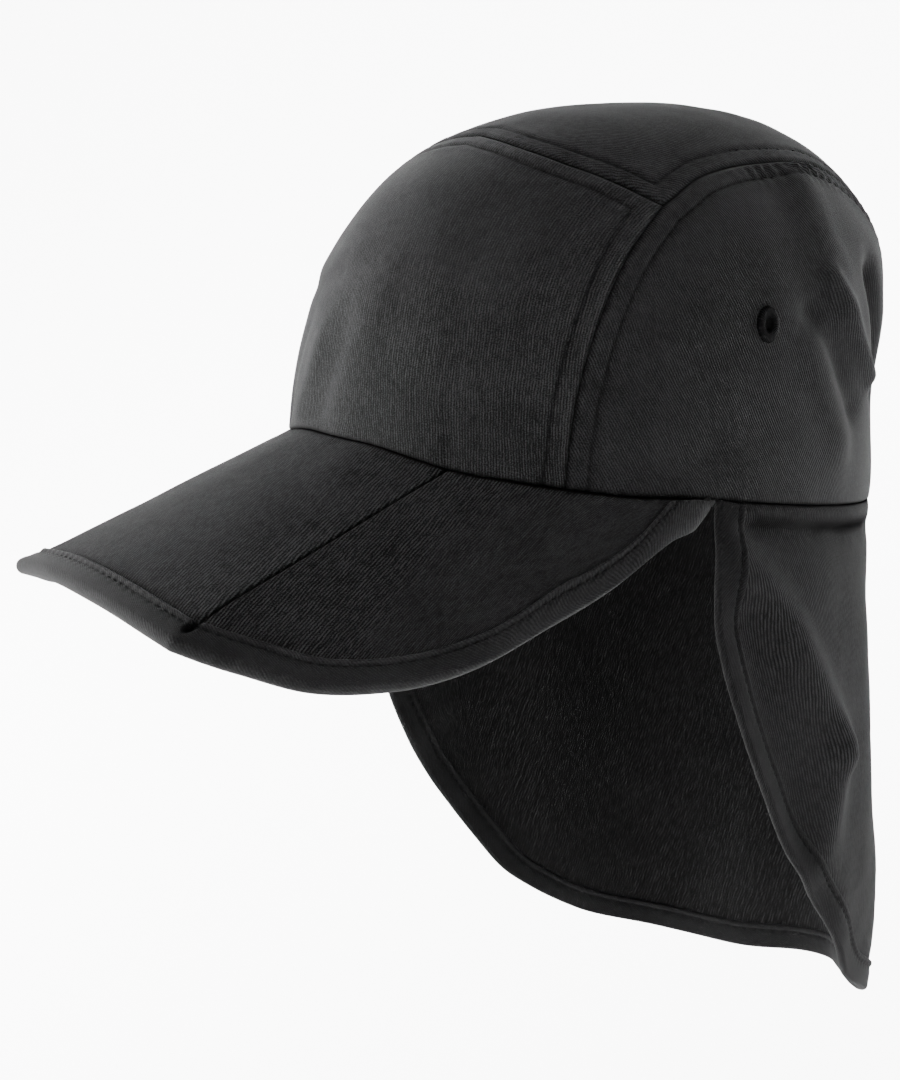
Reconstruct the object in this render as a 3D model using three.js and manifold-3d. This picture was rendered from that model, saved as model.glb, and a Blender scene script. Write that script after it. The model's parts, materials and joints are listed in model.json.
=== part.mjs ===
// Legionnaire cap: a four piece crown, a long peak that folds in three and a hanging neck flap.
// Millimetres, +Z up, the peak towards -Y, the wearer's left towards +X.
// The origin is the middle of the head opening. The crown and the peak are tipped back as worn,
// and the flap hangs straight down from the tipped rim.
import * as THREE from 'three'
import Module from 'manifold-3d'

const wasm = await Module()
wasm.setup()

// Crown sizes; the rim band is the height above the rim that stays plain, and the spans are
// the panels' middle widths and heights
const rimLength = 206
const rimWidth = 166
const crownHeight = 117.5
const crownSetBack = 28
const crownFullness = 0.92
const crownWall = 1.8
const wornTilt = 10
const seamGap = 0.3
const rimBand = 6
const frontSpan = { across: rimWidth * 0.7, along: crownHeight * 0.85 }
const topSpan = { across: rimWidth * 0.55, along: rimLength }
const sideSpan = { across: rimLength * 0.66, along: crownHeight }

// Gathers of the side panels along the top seam; they start and end at shares of its length
const gatherPitch = 8
const gatherDepth = 0.7
const gatherReach = 11
const gatherStartShare = 0.2
const gatherEndShare = 0.3

// Eyelet sizes
const eyeletTurn = 82
const eyeletClimb = 24
const eyeletWidth = 8.4
const eyeletHeight = 10.8
const eyeletHole = 3
const eyeletTube = 0.9
const eyeletFlange = 0.6
const eyeletCrown = 0.6
const eyeletClearance = 0.5

// Peak sizes; the root has sunk under the binding at a share of the way back, and the binding's
// lips leave a share of the narrow ends bare
const peakLength = 76
const peakDrop = 48
const peakRootHalf = 38.5
const peakFoldHalf = 43.5
const peakBow = 4
const peakArch = 4
const peakCore = 2.4
const peakSideBulge = 1.5
const peakEndTurn = 74.5
const peakEndInset = 1
const peakEndDepth = 2.6
const peakDipShare = 0.85
const shortestLipShare = 0.3

// Edge binding sizes
const bindingWidth = 8.5
const bindingCloth = 0.7

// Flap sizes; the roll under the rim fades out over a turn from the front edges, the folds start
// below a plain drop, the top edge is square to the rim over a short drop, and the hem changes from
// the left side's drop to the right side's over a share of its length
const flapDrop = 193
const flapDropLeft = 172
const flapWall = 1.2
const flapFlare = 0.065
const flapTwist = 2.5
const flapTwistDrop = 95
const flapRollTurn = 12
const flapPlainDrop = 28
const flapSquareDrop = 4
const flapHemChangeShare = 0.75

const degree = Math.PI / 180
const up = new THREE.Vector3(0, 0, 1)
const flapProbe = 0.2
const crownProbe = 0.035
const ringSides = 14

const cloth = { color: 0x232427, roughness: 0.95, metalness: 0 }
const bindingTone = { color: 0x2a2b2e, roughness: 0.9, metalness: 0 }
const threadTone = { color: 0x121214, roughness: 0.8, metalness: 0 }

// Tables
// How far each level of the crown stands out from a plain dome
const crownLevels = [
  { climb: 0, front: 1, side: 1, back: 1 },
  { climb: 15, front: 1.05, side: 1.005, back: 1 },
  { climb: 30, front: 1.12, side: 1.045, back: 1.03 },
  { climb: 45, front: 1.16, side: 1.115, back: 1.07 },
  { climb: 60, front: 1.18, side: 1.15, back: 1.09 },
  { climb: 75, front: 1.17, side: 1.165, back: 1.12 },
  { climb: 90, front: 1.16, side: 1.16, back: 1.16 },
]

// Seam between front and side panels, from the rim to the corner where three panels meet
const frontSideSeam = [
  { along: 0, turn: 49, climb: 0 },
  { along: 0.25, turn: 49.5, climb: 10 },
  { along: 0.5, turn: 51, climb: 21 },
  { along: 0.75, turn: 53, climb: 32 },
  { along: 1, turn: 56.5, climb: 42 },
]

// Seam between front and top panels, from the middle to that corner
const frontTopSeam = [
  { along: 0, turn: 0, climb: 53 },
  { along: 0.35, turn: 19, climb: 50.5 },
  { along: 0.7, turn: 40, climb: 46.5 },
  { along: 1, turn: 56.5, climb: 42 },
]

// Seam between top and side panels, from that corner over the side and down the back
const topSideSeam = [
  { along: 0, turn: 56.5, climb: 42 },
  { along: 0.15, turn: 64.5, climb: 51 },
  { along: 0.3, turn: 81, climb: 57 },
  { along: 0.45, turn: 105, climb: 59 },
  { along: 0.6, turn: 127, climb: 52.5 },
  { along: 0.74, turn: 141, climb: 37 },
  { along: 0.87, turn: 149, climb: 18 },
  { along: 1, turn: 153, climb: 0 },
]

// Folds and dents of the crown on each side: a stroke from one place to another,
// its half width and its height as shares of the crown's height
const crownStrokes = [
  { turnA: 103, climbA: 29, turnB: 124, climbB: 14, halfWidth: 0.06, height: 0.014 },
  { turnA: 94, climbA: 27, turnB: 114, climbB: 12, halfWidth: 0.075, height: -0.022 },
  { turnA: 119, climbA: 36, turnB: 130, climbB: 18, halfWidth: 0.08, height: -0.024 },
  { turnA: 88, climbA: 15, turnB: 103, climbB: 8, halfWidth: 0.09, height: 0.01 },
  { turnA: 28, climbA: 0, turnB: 27, climbB: 6, halfWidth: 0.025, height: -0.008 },
  { turnA: 60, climbA: 20, turnB: 75, climbB: 34, halfWidth: 0.12, height: -0.006 },
  { turnA: 18, climbA: 22, turnB: 30, climbB: 36, halfWidth: 0.13, height: -0.006 },
]

// Outer edge of a side panel of the peak, from the fold to the rim:
// out as a share of half the rim's width, ahead of the rim's front as a share of the peak's length,
// drop as a share of the peak's drop
const peakSideEdge = [
  { along: 0.1, out: 0.67, ahead: 0.8, drop: 1.08 },
  { along: 0.22, out: 0.81, ahead: 0.6, drop: 1.12 },
  { along: 0.34, out: 0.91, ahead: 0.37, drop: 1.09 },
  { along: 0.48, out: 0.98, ahead: 0.08, drop: 0.95 },
  { along: 0.62, out: 1.005, ahead: -0.22, drop: 0.71 },
  { along: 0.76, out: 1.01, ahead: -0.5, drop: 0.45 },
  { along: 0.89, out: 0.995, ahead: -0.78, drop: 0.2 },
]

// Front edge and hem of the flap on the left side; the right side is its mirror image
const flapEdge = [
  { along: 0, turn: 77.8, drop: 0 },
  { along: 0.1, turn: 77.8, drop: 0.13 },
  { along: 0.22, turn: 79.5, drop: 0.26 },
  { along: 0.36, turn: 83.5, drop: 0.4 },
  { along: 0.52, turn: 90, drop: 0.56 },
  { along: 0.68, turn: 99, drop: 0.71 },
  { along: 0.84, turn: 109.5, drop: 0.845 },
  { along: 1, turn: 123, drop: 0.955 },
]
const flapHem = [
  { along: 0, turn: 123, drop: 0.955 },
  { along: 0.25, turn: 138, drop: 0.99 },
  { along: 0.5, turn: 154, drop: 1 },
  { along: 0.75, turn: 167, drop: 0.995 },
  { along: 1, turn: 180, drop: 0.99 },
]

// How far the top of the flap rolls out under the rim, as a share of the rim's width
const flapRoll = [
  { drop: 0, out: 0 },
  { drop: 0.01, out: 0.004 },
  { drop: 0.025, out: 0.01 },
  { drop: 0.045, out: 0.003 },
  { drop: 0.065, out: -0.012 },
  { drop: 0.1, out: -0.004 },
  { drop: 0.18, out: -0.004 },
  { drop: 0.4, out: -0.006 },
  { drop: 1, out: 0 },
]

// Folds of the flap: a bowed stroke through three places, its half width and its height
// as shares of the flap's drop
const flapFolds = [
  { turns: [88, 109, 103], drops: [0.1, 0.36, 0.62], halfWidth: 0.055, height: 0.022 },
  { turns: [85, 96, 101], drops: [0.2, 0.42, 0.64], halfWidth: 0.06, height: -0.032 },
  { turns: [121, 125, 130], drops: [0.25, 0.6, 0.9], halfWidth: 0.08, height: 0.006 },
  { turns: [143, 147, 150], drops: [0.2, 0.6, 1], halfWidth: 0.09, height: -0.02 },
  { turns: [166, 170, 172], drops: [0.25, 0.6, 1], halfWidth: 0.09, height: 0.02 },
  { turns: [192, 190, 188], drops: [0.3, 0.65, 1], halfWidth: 0.08, height: -0.018 },
  { turns: [210, 212, 214], drops: [0.2, 0.6, 1], halfWidth: 0.09, height: 0.02 },
  { turns: [238, 236, 232], drops: [0.15, 0.5, 0.9], halfWidth: 0.08, height: -0.02 },
  { turns: [264, 256, 250], drops: [0.12, 0.4, 0.75], halfWidth: 0.07, height: 0.018 },
  { turns: [272, 268, 262], drops: [0.15, 0.35, 0.55], halfWidth: 0.05, height: -0.014 },
]

// Curves through tables
function curveThrough(rows, along, columns) {
  const places = Float64Array.from(rows, row => row[along])
  const values = Float64Array.from(rows.flatMap(row => columns.map(column => row[column])))
  const curve = new THREE.CubicInterpolant(places, values, columns.length)
  return place => {
    const found = curve.evaluate(place)
    return Object.fromEntries(columns.map((column, index) => [column, found[index]]))
  }
}

const crownLevel = curveThrough(crownLevels, 'climb', ['front', 'side', 'back'])
const frontSideAt = curveThrough(frontSideSeam, 'along', ['turn', 'climb'])
const frontTopAt = curveThrough(frontTopSeam, 'along', ['turn', 'climb'])
const topSideAt = curveThrough(topSideSeam, 'along', ['turn', 'climb'])
const flapEdgeAt = curveThrough(flapEdge, 'along', ['turn', 'drop'])
const flapHemAt = curveThrough(flapHem, 'along', ['turn', 'drop'])
const flapRollAt = curveThrough(flapRoll, 'drop', ['out'])

// A closed sheet: points of its outer face, matching points of its inner face, and walls
// along every side of a four cornered cell that no other cell shares
function thickSheet(outer, inner, cells) {
  const positions = [...outer, ...inner].flatMap(point => point.toArray())
  const count = outer.length
  const triangles = []
  const quad = (a, b, c, d) => triangles.push(a, b, c, a, c, d)
  const sides = new Set()
  for (const [a, b, c, d] of cells) {
    quad(a, b, c, d)
    triangles.push(count + a, count + c, count + b, count + a, count + d, count + c)
    for (const [from, to] of [[a, b], [b, c], [c, d], [d, a]]) sides.add(`${from} ${to}`)
  }
  for (const side of sides) {
    const [from, to] = side.split(' ').map(Number)
    if (!sides.has(`${to} ${from}`)) quad(to, from, count + from, count + to)
  }
  const geometry = new THREE.BufferGeometry()
  geometry.setAttribute('position', new THREE.Float32BufferAttribute(positions, 3))
  geometry.setIndex(enclosedVolume(positions, triangles) > 0 ? triangles : triangles.reverse())
  return geometry
}

// The cells of a grid whose points are listed row by row
function gridCells(columns, rows) {
  const place = (column, row) => row * (columns + 1) + column
  const cells = []
  for (let row = 0; row < rows; row++) {
    for (let column = 0; column < columns; column++) {
      const next = column + 1
      cells.push([place(column, row), place(next, row), place(next, row + 1), place(column, row + 1)])
    }
  }
  return cells
}

function gridPoints(columns, rows, pointAt) {
  const points = []
  for (let row = 0; row <= rows; row++) {
    for (let column = 0; column <= columns; column++) points.push(pointAt(column, row))
  }
  return points
}

function closedSheet(columns, rows, outerAt, innerAt) {
  const outer = gridPoints(columns, rows, outerAt)
  return thickSheet(outer, gridPoints(columns, rows, innerAt), gridCells(columns, rows))
}

function enclosedVolume(positions, triangles) {
  const corner = index => new THREE.Vector3().fromArray(positions, 3 * triangles[index])
  let volume = 0
  for (let index = 0; index < triangles.length; index += 3) {
    volume += corner(index).dot(corner(index + 1).cross(corner(index + 2))) / 6
  }
  return volume
}

// Distance from a place to a bowed stroke through three places
function strokeDistance(place, start, middle, end) {
  const steps = 10
  const bend = middle.clone().multiplyScalar(2).sub(start.clone().add(end).multiplyScalar(0.5))
  const curve = new THREE.QuadraticBezierCurve3(start, bend, end)
  const points = curve.getPoints(steps)
  const nearest = new THREE.Vector3()
  let distance = Infinity
  for (let step = 0; step < steps; step++) {
    new THREE.Line3(points[step], points[step + 1]).closestPointToPoint(place, true, nearest)
    distance = Math.min(distance, nearest.distanceTo(place))
  }
  return distance
}

const swellOf = (distance, halfWidth) => Math.exp(-((distance / halfWidth) ** 2))

// Crown surface, in the crown's own frame with the rim level
function plainCrown(turn, climb) {
  const level = crownLevel(climb)
  const across = Math.sin(turn * degree)
  const ahead = Math.cos(turn * degree)
  const spread = Math.cos(climb * degree)
  const rise = Math.sin(climb * degree)
  const reach = ahead > 0 ? level.front : level.back
  return new THREE.Vector3(
    (rimWidth / 2) * across * level.side * spread,
    -(rimLength / 2) * ahead * reach * spread + crownSetBack * rise ** 2,
    crownHeight * rise ** crownFullness,
  )
}

// A place on the crown as a direction from the middle of the rim, and back again
function directionOf({ turn, climb }) {
  const spread = Math.cos(climb * degree)
  return new THREE.Vector3(
    Math.sin(turn * degree) * spread,
    -Math.cos(turn * degree) * spread,
    Math.sin(climb * degree),
  )
}

function placeOf(direction) {
  const unit = direction.clone().normalize()
  return {
    turn: Math.atan2(unit.x, -unit.y) / degree,
    climb: Math.asin(Math.min(1, Math.max(0, unit.z))) / degree,
  }
}

function crownNormal(direction) {
  const point = toward => {
    const place = placeOf(toward)
    return plainCrown(place.turn, place.climb)
  }
  const unit = direction.clone().normalize()
  const side = new THREE.Vector3(-unit.y, unit.x, 0)
  if (side.length() < crownProbe) side.set(1, 0, 0)
  side.normalize().multiplyScalar(crownProbe)
  const rise = new THREE.Vector3().crossVectors(unit, side)
  const centre = point(unit)
  const sideward = point(unit.clone().add(side)).sub(centre)
  const upward = point(unit.clone().add(rise)).sub(centre)
  return sideward.cross(upward).normalize()
}

const crownFolds = crownStrokes.map(stroke => ({
  start: plainCrown(stroke.turnA, stroke.climbA),
  end: plainCrown(stroke.turnB, stroke.climbB),
  halfWidth: stroke.halfWidth * crownHeight,
  height: stroke.height * crownHeight,
}))

function crownRelief(point) {
  const mirrored = new THREE.Vector3(Math.abs(point.x), point.y, point.z)
  const nearest = new THREE.Vector3()
  return crownFolds.reduce((total, fold) => {
    new THREE.Line3(fold.start, fold.end).closestPointToPoint(mirrored, true, nearest)
    return total + fold.height * swellOf(nearest.distanceTo(mirrored), fold.halfWidth)
  }, 0)
}

// A point of the crown at a depth below its outer face, raised by an extra ripple
function crownPoint(direction, depth, ripple = 0) {
  const place = placeOf(direction)
  const point = plainCrown(place.turn, place.climb)
  const rimFade = THREE.MathUtils.smoothstep(point.z, 0, rimBand)
  const raise = (crownRelief(point) + ripple) * rimFade
  return point.addScaledVector(crownNormal(direction), raise - depth)
}

// The crown's inner face keeps the rim's bottom edge level
function crownInnerPoint(direction, ripple = 0) {
  const point = crownPoint(direction, crownWall, ripple)
  point.z = Math.max(point.z, 0)
  return point
}

// A four sided patch of directions, blended from its four edges
function blendedPatch(bottom, top, left, right) {
  const corner = [bottom(0), bottom(1), top(0), top(1)]
  return (across, along) => {
    const level = bottom(across).multiplyScalar(1 - along).addScaledVector(top(across), along)
    const upright = left(along).multiplyScalar(1 - across).addScaledVector(right(along), across)
    const corners = corner[0].clone().multiplyScalar((1 - across) * (1 - along))
      .addScaledVector(corner[1], across * (1 - along))
      .addScaledVector(corner[2], (1 - across) * along)
      .addScaledVector(corner[3], across * along)
    return level.add(upright).sub(corners)
  }
}

const mirroredPlace = ({ turn, climb }) => ({ turn: -turn, climb })
const onRim = turn => directionOf({ turn, climb: 0 })

// Shares of a panel's span, pulled in at both ends by half the seam gap
function seamShare(step, steps, span) {
  const inset = seamGap / 2 / span
  return inset + (1 - 2 * inset) * (step / steps)
}

const cornerPlace = frontSideSeam.at(-1)
const seamFoot = frontSideSeam[0].turn
const backFoot = topSideSeam.at(-1).turn

// The first row is the rim, so only the last one is pulled in
function crownPanel(columns, rows, patch, span, rippleAt = () => 0) {
  const at = (column, row) => patch(
    seamShare(column, columns, span.across),
    (row / rows) * (1 - seamGap / 2 / span.along),
  )
  const outer = (column, row) => crownPoint(at(column, row), 0, rippleAt(column, row))
  const inner = (column, row) => crownInnerPoint(at(column, row), rippleAt(column, row))
  return closedSheet(columns, rows, outer, inner)
}

function frontPanelGeometry() {
  const patch = blendedPatch(
    across => onRim(seamFoot * (2 * across - 1)),
    across => {
      const place = frontTopAt(Math.abs(2 * across - 1))
      return directionOf(across < 0.5 ? mirroredPlace(place) : place)
    },
    along => directionOf(mirroredPlace(frontSideAt(along))),
    along => directionOf(frontSideAt(along)),
  )
  return crownPanel(12, 10, patch, frontSpan)
}

function topPanelGeometry() {
  const backSpan = 180 - backFoot
  const patch = blendedPatch(
    across => onRim(180 + backSpan * (1 - 2 * across)),
    across => {
      const place = frontTopAt(Math.abs(2 * across - 1))
      return directionOf(across < 0.5 ? mirroredPlace(place) : place)
    },
    along => directionOf(mirroredPlace(topSideAt(1 - along))),
    along => directionOf(topSideAt(1 - along)),
  )
  return crownPanel(10, 28, patch, topSpan)
}

// A side panel's long seam is its top edge up to this share, and its back edge beyond it
const seamTurnShare = 0.74

function sidePanelGeometry(side) {
  const columns = 2 * Math.round(sideSpan.across / gatherPitch)
  const rows = 11
  const rowCrowding = 1.2
  const sided = direction => direction.multiply(new THREE.Vector3(side, 1, 1))
  const patch = blendedPatch(
    across => sided(onRim(seamFoot + (backFoot - seamFoot) * across)),
    across => sided(directionOf(topSideAt(seamTurnShare * across))),
    along => sided(directionOf(frontSideAt(along))),
    along => sided(directionOf(topSideAt(1 - (1 - seamTurnShare) * along))),
  )
  const risen = (across, along) => patch(across, 1 - (1 - along) ** rowCrowding)
  const ripple = (column, row) => {
    const across = column / columns
    const below = (1 - row / rows) ** rowCrowding * frontSpan.along
    const fadeIn = THREE.MathUtils.smoothstep(across, gatherStartShare / 2, gatherStartShare)
    const fadeOut = THREE.MathUtils.smoothstep(1 - across, gatherEndShare / 2, gatherEndShare)
    const wave = Math.cos(Math.PI * column)
    return gatherDepth * wave * fadeIn * fadeOut * swellOf(below - gatherReach / 3, gatherReach / 2)
  }
  return crownPanel(columns, rows, risen, sideSpan, ripple)
}

// Booleans
function solidOf(geometry) {
  return new wasm.Manifold(new wasm.Mesh({
    numProp: 3,
    vertProperties: new Float32Array(geometry.attributes.position.array),
    triVerts: new Uint32Array(geometry.index.array),
  }))
}

function geometryOf(solid) {
  const mesh = solid.getMesh()
  const geometry = new THREE.BufferGeometry()
  geometry.setAttribute('position', new THREE.BufferAttribute(mesh.vertProperties, 3))
  geometry.setIndex(new THREE.BufferAttribute(mesh.triVerts, 1))
  return geometry
}

// Eyelets: a sewn ring through the wall with a flange on each face
function eyeletSeat(side) {
  const direction = directionOf({ turn: side * eyeletTurn, climb: eyeletClimb })
  const normal = crownNormal(direction)
  const point = crownPoint(direction, crownWall / 2)
  const level = new THREE.Vector3().crossVectors(up, normal).normalize()
  const rise = new THREE.Vector3().crossVectors(normal, level)
  return new THREE.Matrix4().makeBasis(level, rise, normal).setPosition(point)
}

// Turned about the wall's normal and stretched to an oval
function ovalRing(profile) {
  const outline = profile.map(([radius, height]) => new THREE.Vector2(radius, height))
  const geometry = new THREE.LatheGeometry(outline, ringSides)
  geometry.rotateX(Math.PI / 2)
  geometry.scale(1, eyeletHeight / eyeletWidth, 1)
  geometry.deleteAttribute('uv')
  geometry.deleteAttribute('normal')
  return weld(geometry)
}

// Joins the points that lie together and drops the triangles that this leaves flat
function weld(geometry) {
  const perMillimetre = 1000
  const positions = []
  const seen = new Map()
  const source = geometry.attributes.position
  const remap = []
  for (let index = 0; index < source.count; index++) {
    const point = new THREE.Vector3().fromBufferAttribute(source, index)
    const key = point.toArray().map(value => Math.round(value * perMillimetre)).join()
    if (!seen.has(key)) {
      seen.set(key, positions.length / 3)
      positions.push(...point.toArray())
    }
    remap.push(seen.get(key))
  }
  const corners = Array.from(geometry.index.array, index => remap[index])
  const triangles = []
  for (let index = 0; index < corners.length; index += 3) {
    const triangle = corners.slice(index, index + 3)
    if (new Set(triangle).size === 3) triangles.push(...triangle)
  }
  const welded = new THREE.BufferGeometry()
  welded.setAttribute('position', new THREE.Float32BufferAttribute(positions, 3))
  welded.setIndex(enclosedVolume(positions, triangles) > 0 ? triangles : triangles.reverse())
  return welded
}

function eyeletGeometry(side) {
  const half = crownWall / 2 + eyeletClearance
  const face = half + eyeletFlange
  const hole = eyeletHole / 2
  const tube = hole + eyeletTube
  const flange = eyeletWidth / 2
  const profile = [
    [hole, -face], [hole, face], [tube + eyeletCrown, face], [flange, half], [tube, half],
    [tube, -half], [flange, -half], [tube + eyeletCrown, -face], [hole, -face],
  ]
  return ovalRing(profile).applyMatrix4(eyeletSeat(side))
}

function eyeletHoleGeometry(side) {
  const reach = crownWall * 3
  const radius = eyeletHole / 2 + eyeletTube + eyeletClearance
  const profile = [[0, -reach], [radius, -reach], [radius, reach], [0, reach]]
  return ovalRing(profile).applyMatrix4(eyeletSeat(side))
}

const piercedSidePanel = side => geometryOf(
  solidOf(sidePanelGeometry(side)).subtract(solidOf(eyeletHoleGeometry(side))),
)

// Peak
const bindingStand = seamGap + bindingCloth
const peakHalf = peakCore / 2
const foldShare = 0.42
const peakSideSteps = 14
const peakFrontSteps = 4
const peakProbe = 0.01
const rimPoint = (turn, inset, z) => new THREE.Vector3(
  (rimWidth / 2 - inset) * Math.sin(turn * degree),
  -(rimLength / 2 - inset) * Math.cos(turn * degree),
  z,
)
const foldTurn = Math.asin(peakRootHalf / (rimWidth / 2)) / degree

// The root tucks under the crown's wall and dips at its two ends to leave room for the binding
function peakRoot(share) {
  const turn = share < foldShare
    ? foldTurn * (share / foldShare)
    : THREE.MathUtils.mapLinear(share, foldShare, 1, foldTurn, peakEndTurn)
  const dip = bindingStand * THREE.MathUtils.smoothstep(share, foldShare, peakDipShare)
  return rimPoint(turn, crownWall / 2, -seamGap - peakHalf - dip)
}

const peakFoldEnd = new THREE.Vector3(peakFoldHalf, -(rimLength / 2 + peakLength - peakBow), -peakDrop)
const peakSideRows = [
  { along: 0, x: peakFoldEnd.x, y: peakFoldEnd.y, z: peakFoldEnd.z },
  ...peakSideEdge.map(row => ({
    along: row.along,
    x: (row.out * rimWidth) / 2,
    y: -(rimLength / 2 + row.ahead * peakLength),
    z: -row.drop * peakDrop,
  })),
  { along: 1, ...rimPoint(peakEndTurn, peakEndInset, -seamGap - peakHalf - bindingStand - peakEndDepth) },
]
const peakSideAt = curveThrough(peakSideRows, 'along', ['x', 'y', 'z'])

function peakEdge(share) {
  if (share < foldShare) {
    const across = share / foldShare
    const bow = 1 - across ** 2
    return new THREE.Vector3(
      peakFoldHalf * across,
      peakFoldEnd.y - peakBow * bow,
      peakFoldEnd.z + peakArch * bow,
    )
  }
  const { x, y, z } = peakSideAt((share - foldShare) / (1 - foldShare))
  return new THREE.Vector3(x, y, z)
}

// Rises from 0 to 1 at the middle and falls back to 0
const arch = share => 4 * share * (1 - share)

// Middle surface of the peak: share 0 is the middle line, 1 the end at the rim;
// out 0 is the root and 1 the edge
function peakMiddle(share, out) {
  const root = peakRoot(Math.abs(share))
  const edge = peakEdge(Math.abs(share))
  const point = root.lerp(edge, out)
  const onSide = Math.max(0, Math.abs(share) - foldShare) / (1 - foldShare)
  const bulge = peakSideBulge * arch(onSide) * arch(out)
  point.x += bulge
  point.z += bulge / 2
  return share < 0 ? point.multiply(new THREE.Vector3(-1, 1, 1)) : point
}

function peakFaceNormal(share, out) {
  const inner = Math.min(out, 1 - peakProbe)
  const centre = peakMiddle(share, inner)
  const across = peakMiddle(share + peakProbe, inner).sub(centre)
  const outward = peakMiddle(share, inner + peakProbe).sub(centre)
  return outward.cross(across).normalize()
}

// The normal on one side of a fold, met halfway at the fold itself
function peakNormal(share, out, onFold) {
  if (!onFold) return peakFaceNormal(share, out)
  const side = Math.sign(share)
  const flat = peakFaceNormal(side * (foldShare - 3 * peakProbe), out)
  const steep = peakFaceNormal(side * (foldShare + 3 * peakProbe), out)
  const half = flat.clone().add(steep).normalize()
  return half.divideScalar(half.dot(flat))
}

const onFold = share => Math.abs(Math.abs(share) - foldShare) < peakProbe / 10

// The probe for the normal stays inside the peak at its two ends
function peakFacePoint(share, out, height) {
  const normal = peakNormal(share * (1 - peakProbe), out, onFold(share))
  return peakMiddle(share, out).addScaledVector(normal, height)
}

// Where the binding's lip ends, as a share of the way out from the root
function peakLipOut(share) {
  const edge = peakMiddle(share, 1)
  const ahead = peakMiddle(Math.min(1, share + peakProbe), 1)
  const tangent = ahead.sub(peakMiddle(Math.max(-1, share - peakProbe), 1)).normalize()
  const reach = edge.sub(peakMiddle(share, 0)).cross(tangent).length()
  return Math.max(1 - bindingWidth / reach, shortestLipShare)
}

// A panel of the peak; its last row of cells is the part that the binding covers
function peakPanelGeometry(from, to, columns, rows) {
  const shareStep = Math.abs(from + to) < foldShare
    ? foldShare / peakFoldHalf
    : (1 - foldShare) / sideSpan.across
  const point = (column, row, height) => {
    const share = THREE.MathUtils.lerp(from, to, column / columns)
    const shift = onFold(share) ? Math.sign(from + to - 2 * share) * (seamGap / 2) * shareStep : 0
    const out = row === rows ? 1 : peakLipOut(share) * (row / (rows - 1))
    const offset = peakFacePoint(share + shift, out, 0).sub(peakFacePoint(share, out, 0))
    return peakFacePoint(share, out, height).add(offset)
  }
  return closedSheet(
    columns,
    rows,
    (column, row) => point(column, row, peakHalf),
    (column, row) => point(column, row, -peakHalf),
  )
}

// A section of the binding folded round an edge: a lip on each face and a rounded nose.
// The two face functions give the sheet's points at a height off its middle, at the edge
// and where the lip ends.
function bindingSection(edgeAt, lipAt, half) {
  const inner = half + seamGap
  const outer = inner + bindingCloth
  const edge = edgeAt(0)
  const normal = edgeAt(1).sub(edge)
  const outward = edge.clone().sub(lipAt(0)).normalize()
  const nose = (turn, reach) => edge.clone()
    .addScaledVector(outward, reach * Math.cos(turn * degree))
    .addScaledVector(normal, reach * Math.sin(turn * degree))
  return [
    { outer: lipAt(outer), inner: lipAt(inner) },
    ...[90, 30, -30, -90].map(turn => ({ outer: nose(turn, outer), inner: nose(turn, inner) })),
    { outer: lipAt(-outer), inner: lipAt(-inner) },
  ]
}

// The cells of the last lip are cut along their other diagonal, as the cloth under them is
function bindingGeometry(sections) {
  const columns = sections.length - 1
  const rows = sections[0].length - 1
  const lastRow = columns * (rows - 1)
  const cells = gridCells(columns, rows)
    .map(([a, b, c, d], index) => (index < lastRow ? [a, b, c, d] : [b, c, d, a]))
  const face = side => gridPoints(columns, rows, (column, row) => sections[column][row][side])
  return thickSheet(face('outer'), face('inner'), cells)
}

function peakBindingGeometry() {
  const shares = []
  for (let step = peakSideSteps; step > 0; step--) {
    shares.push(-THREE.MathUtils.lerp(foldShare, 1, step / peakSideSteps))
  }
  for (let step = -peakFrontSteps; step <= peakFrontSteps; step++) {
    shares.push((foldShare * step) / peakFrontSteps)
  }
  for (let step = 1; step <= peakSideSteps; step++) {
    shares.push(THREE.MathUtils.lerp(foldShare, 1, step / peakSideSteps))
  }
  return bindingGeometry(shares.map(share => bindingSection(
    height => peakFacePoint(share, 1, height),
    height => peakFacePoint(share, peakLipOut(share), height),
    peakHalf,
  )))
}

// Flap
const tiltAxis = new THREE.Vector3(1, 0, 0)
const worn = point => point.applyAxisAngle(tiltAxis, -wornTilt * degree)
const flapStrokes = flapFolds.map(fold => ({
  places: fold.turns.map((turn, index) => flapFlat(turn, fold.drops[index] * flapDrop)),
  halfWidth: fold.halfWidth * flapDrop,
  height: fold.height * flapDrop,
}))

// Length of rim for one degree of turn
function rimStep(turn) {
  const sideways = (rimWidth / 2) * Math.cos(turn * degree)
  const lengthways = (rimLength / 2) * Math.sin(turn * degree)
  return Math.hypot(sideways, lengthways) * degree
}

// A place on the flap laid out flat, measured along the rim from the middle of the back
function flapFlat(turn, drop) {
  const steps = 24
  let length = 0
  for (let step = 0; step < steps; step++) {
    length += rimStep(180 + ((turn - 180) * (step + 0.5)) / steps) * ((turn - 180) / steps)
  }
  return new THREE.Vector3(length, drop, 0)
}

function flapRelief(turn, drop) {
  const place = flapFlat(turn, drop)
  return flapStrokes.reduce((total, stroke) => (
    total + stroke.height * swellOf(strokeDistance(place, ...stroke.places), stroke.halfWidth)
  ), 0)
}

function flapMiddle(turn, drop) {
  const swing = turn + flapTwist * THREE.MathUtils.smoothstep(drop, 0, flapTwistDrop)
  const base = worn(rimPoint(swing, crownWall / 2, -seamGap))
  const outward = new THREE.Vector3(
    Math.sin(swing * degree) / rimWidth,
    -Math.cos(swing * degree) / rimLength,
    0,
  ).normalize()
  const fromEdge = Math.min(turn - flapEdge[0].turn, 360 - flapEdge[0].turn - turn)
  const rollFade = THREE.MathUtils.smoothstep(fromEdge, 0, flapRollTurn)
  const roll = flapRollAt(drop / flapDrop).out * rimWidth * rollFade
  const topFade = THREE.MathUtils.smoothstep(drop, 0, flapPlainDrop)
  const out = flapFlare * drop + roll + flapRelief(turn, drop) * topFade
  return base.addScaledVector(outward, out).addScaledVector(up, -drop)
}

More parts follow.
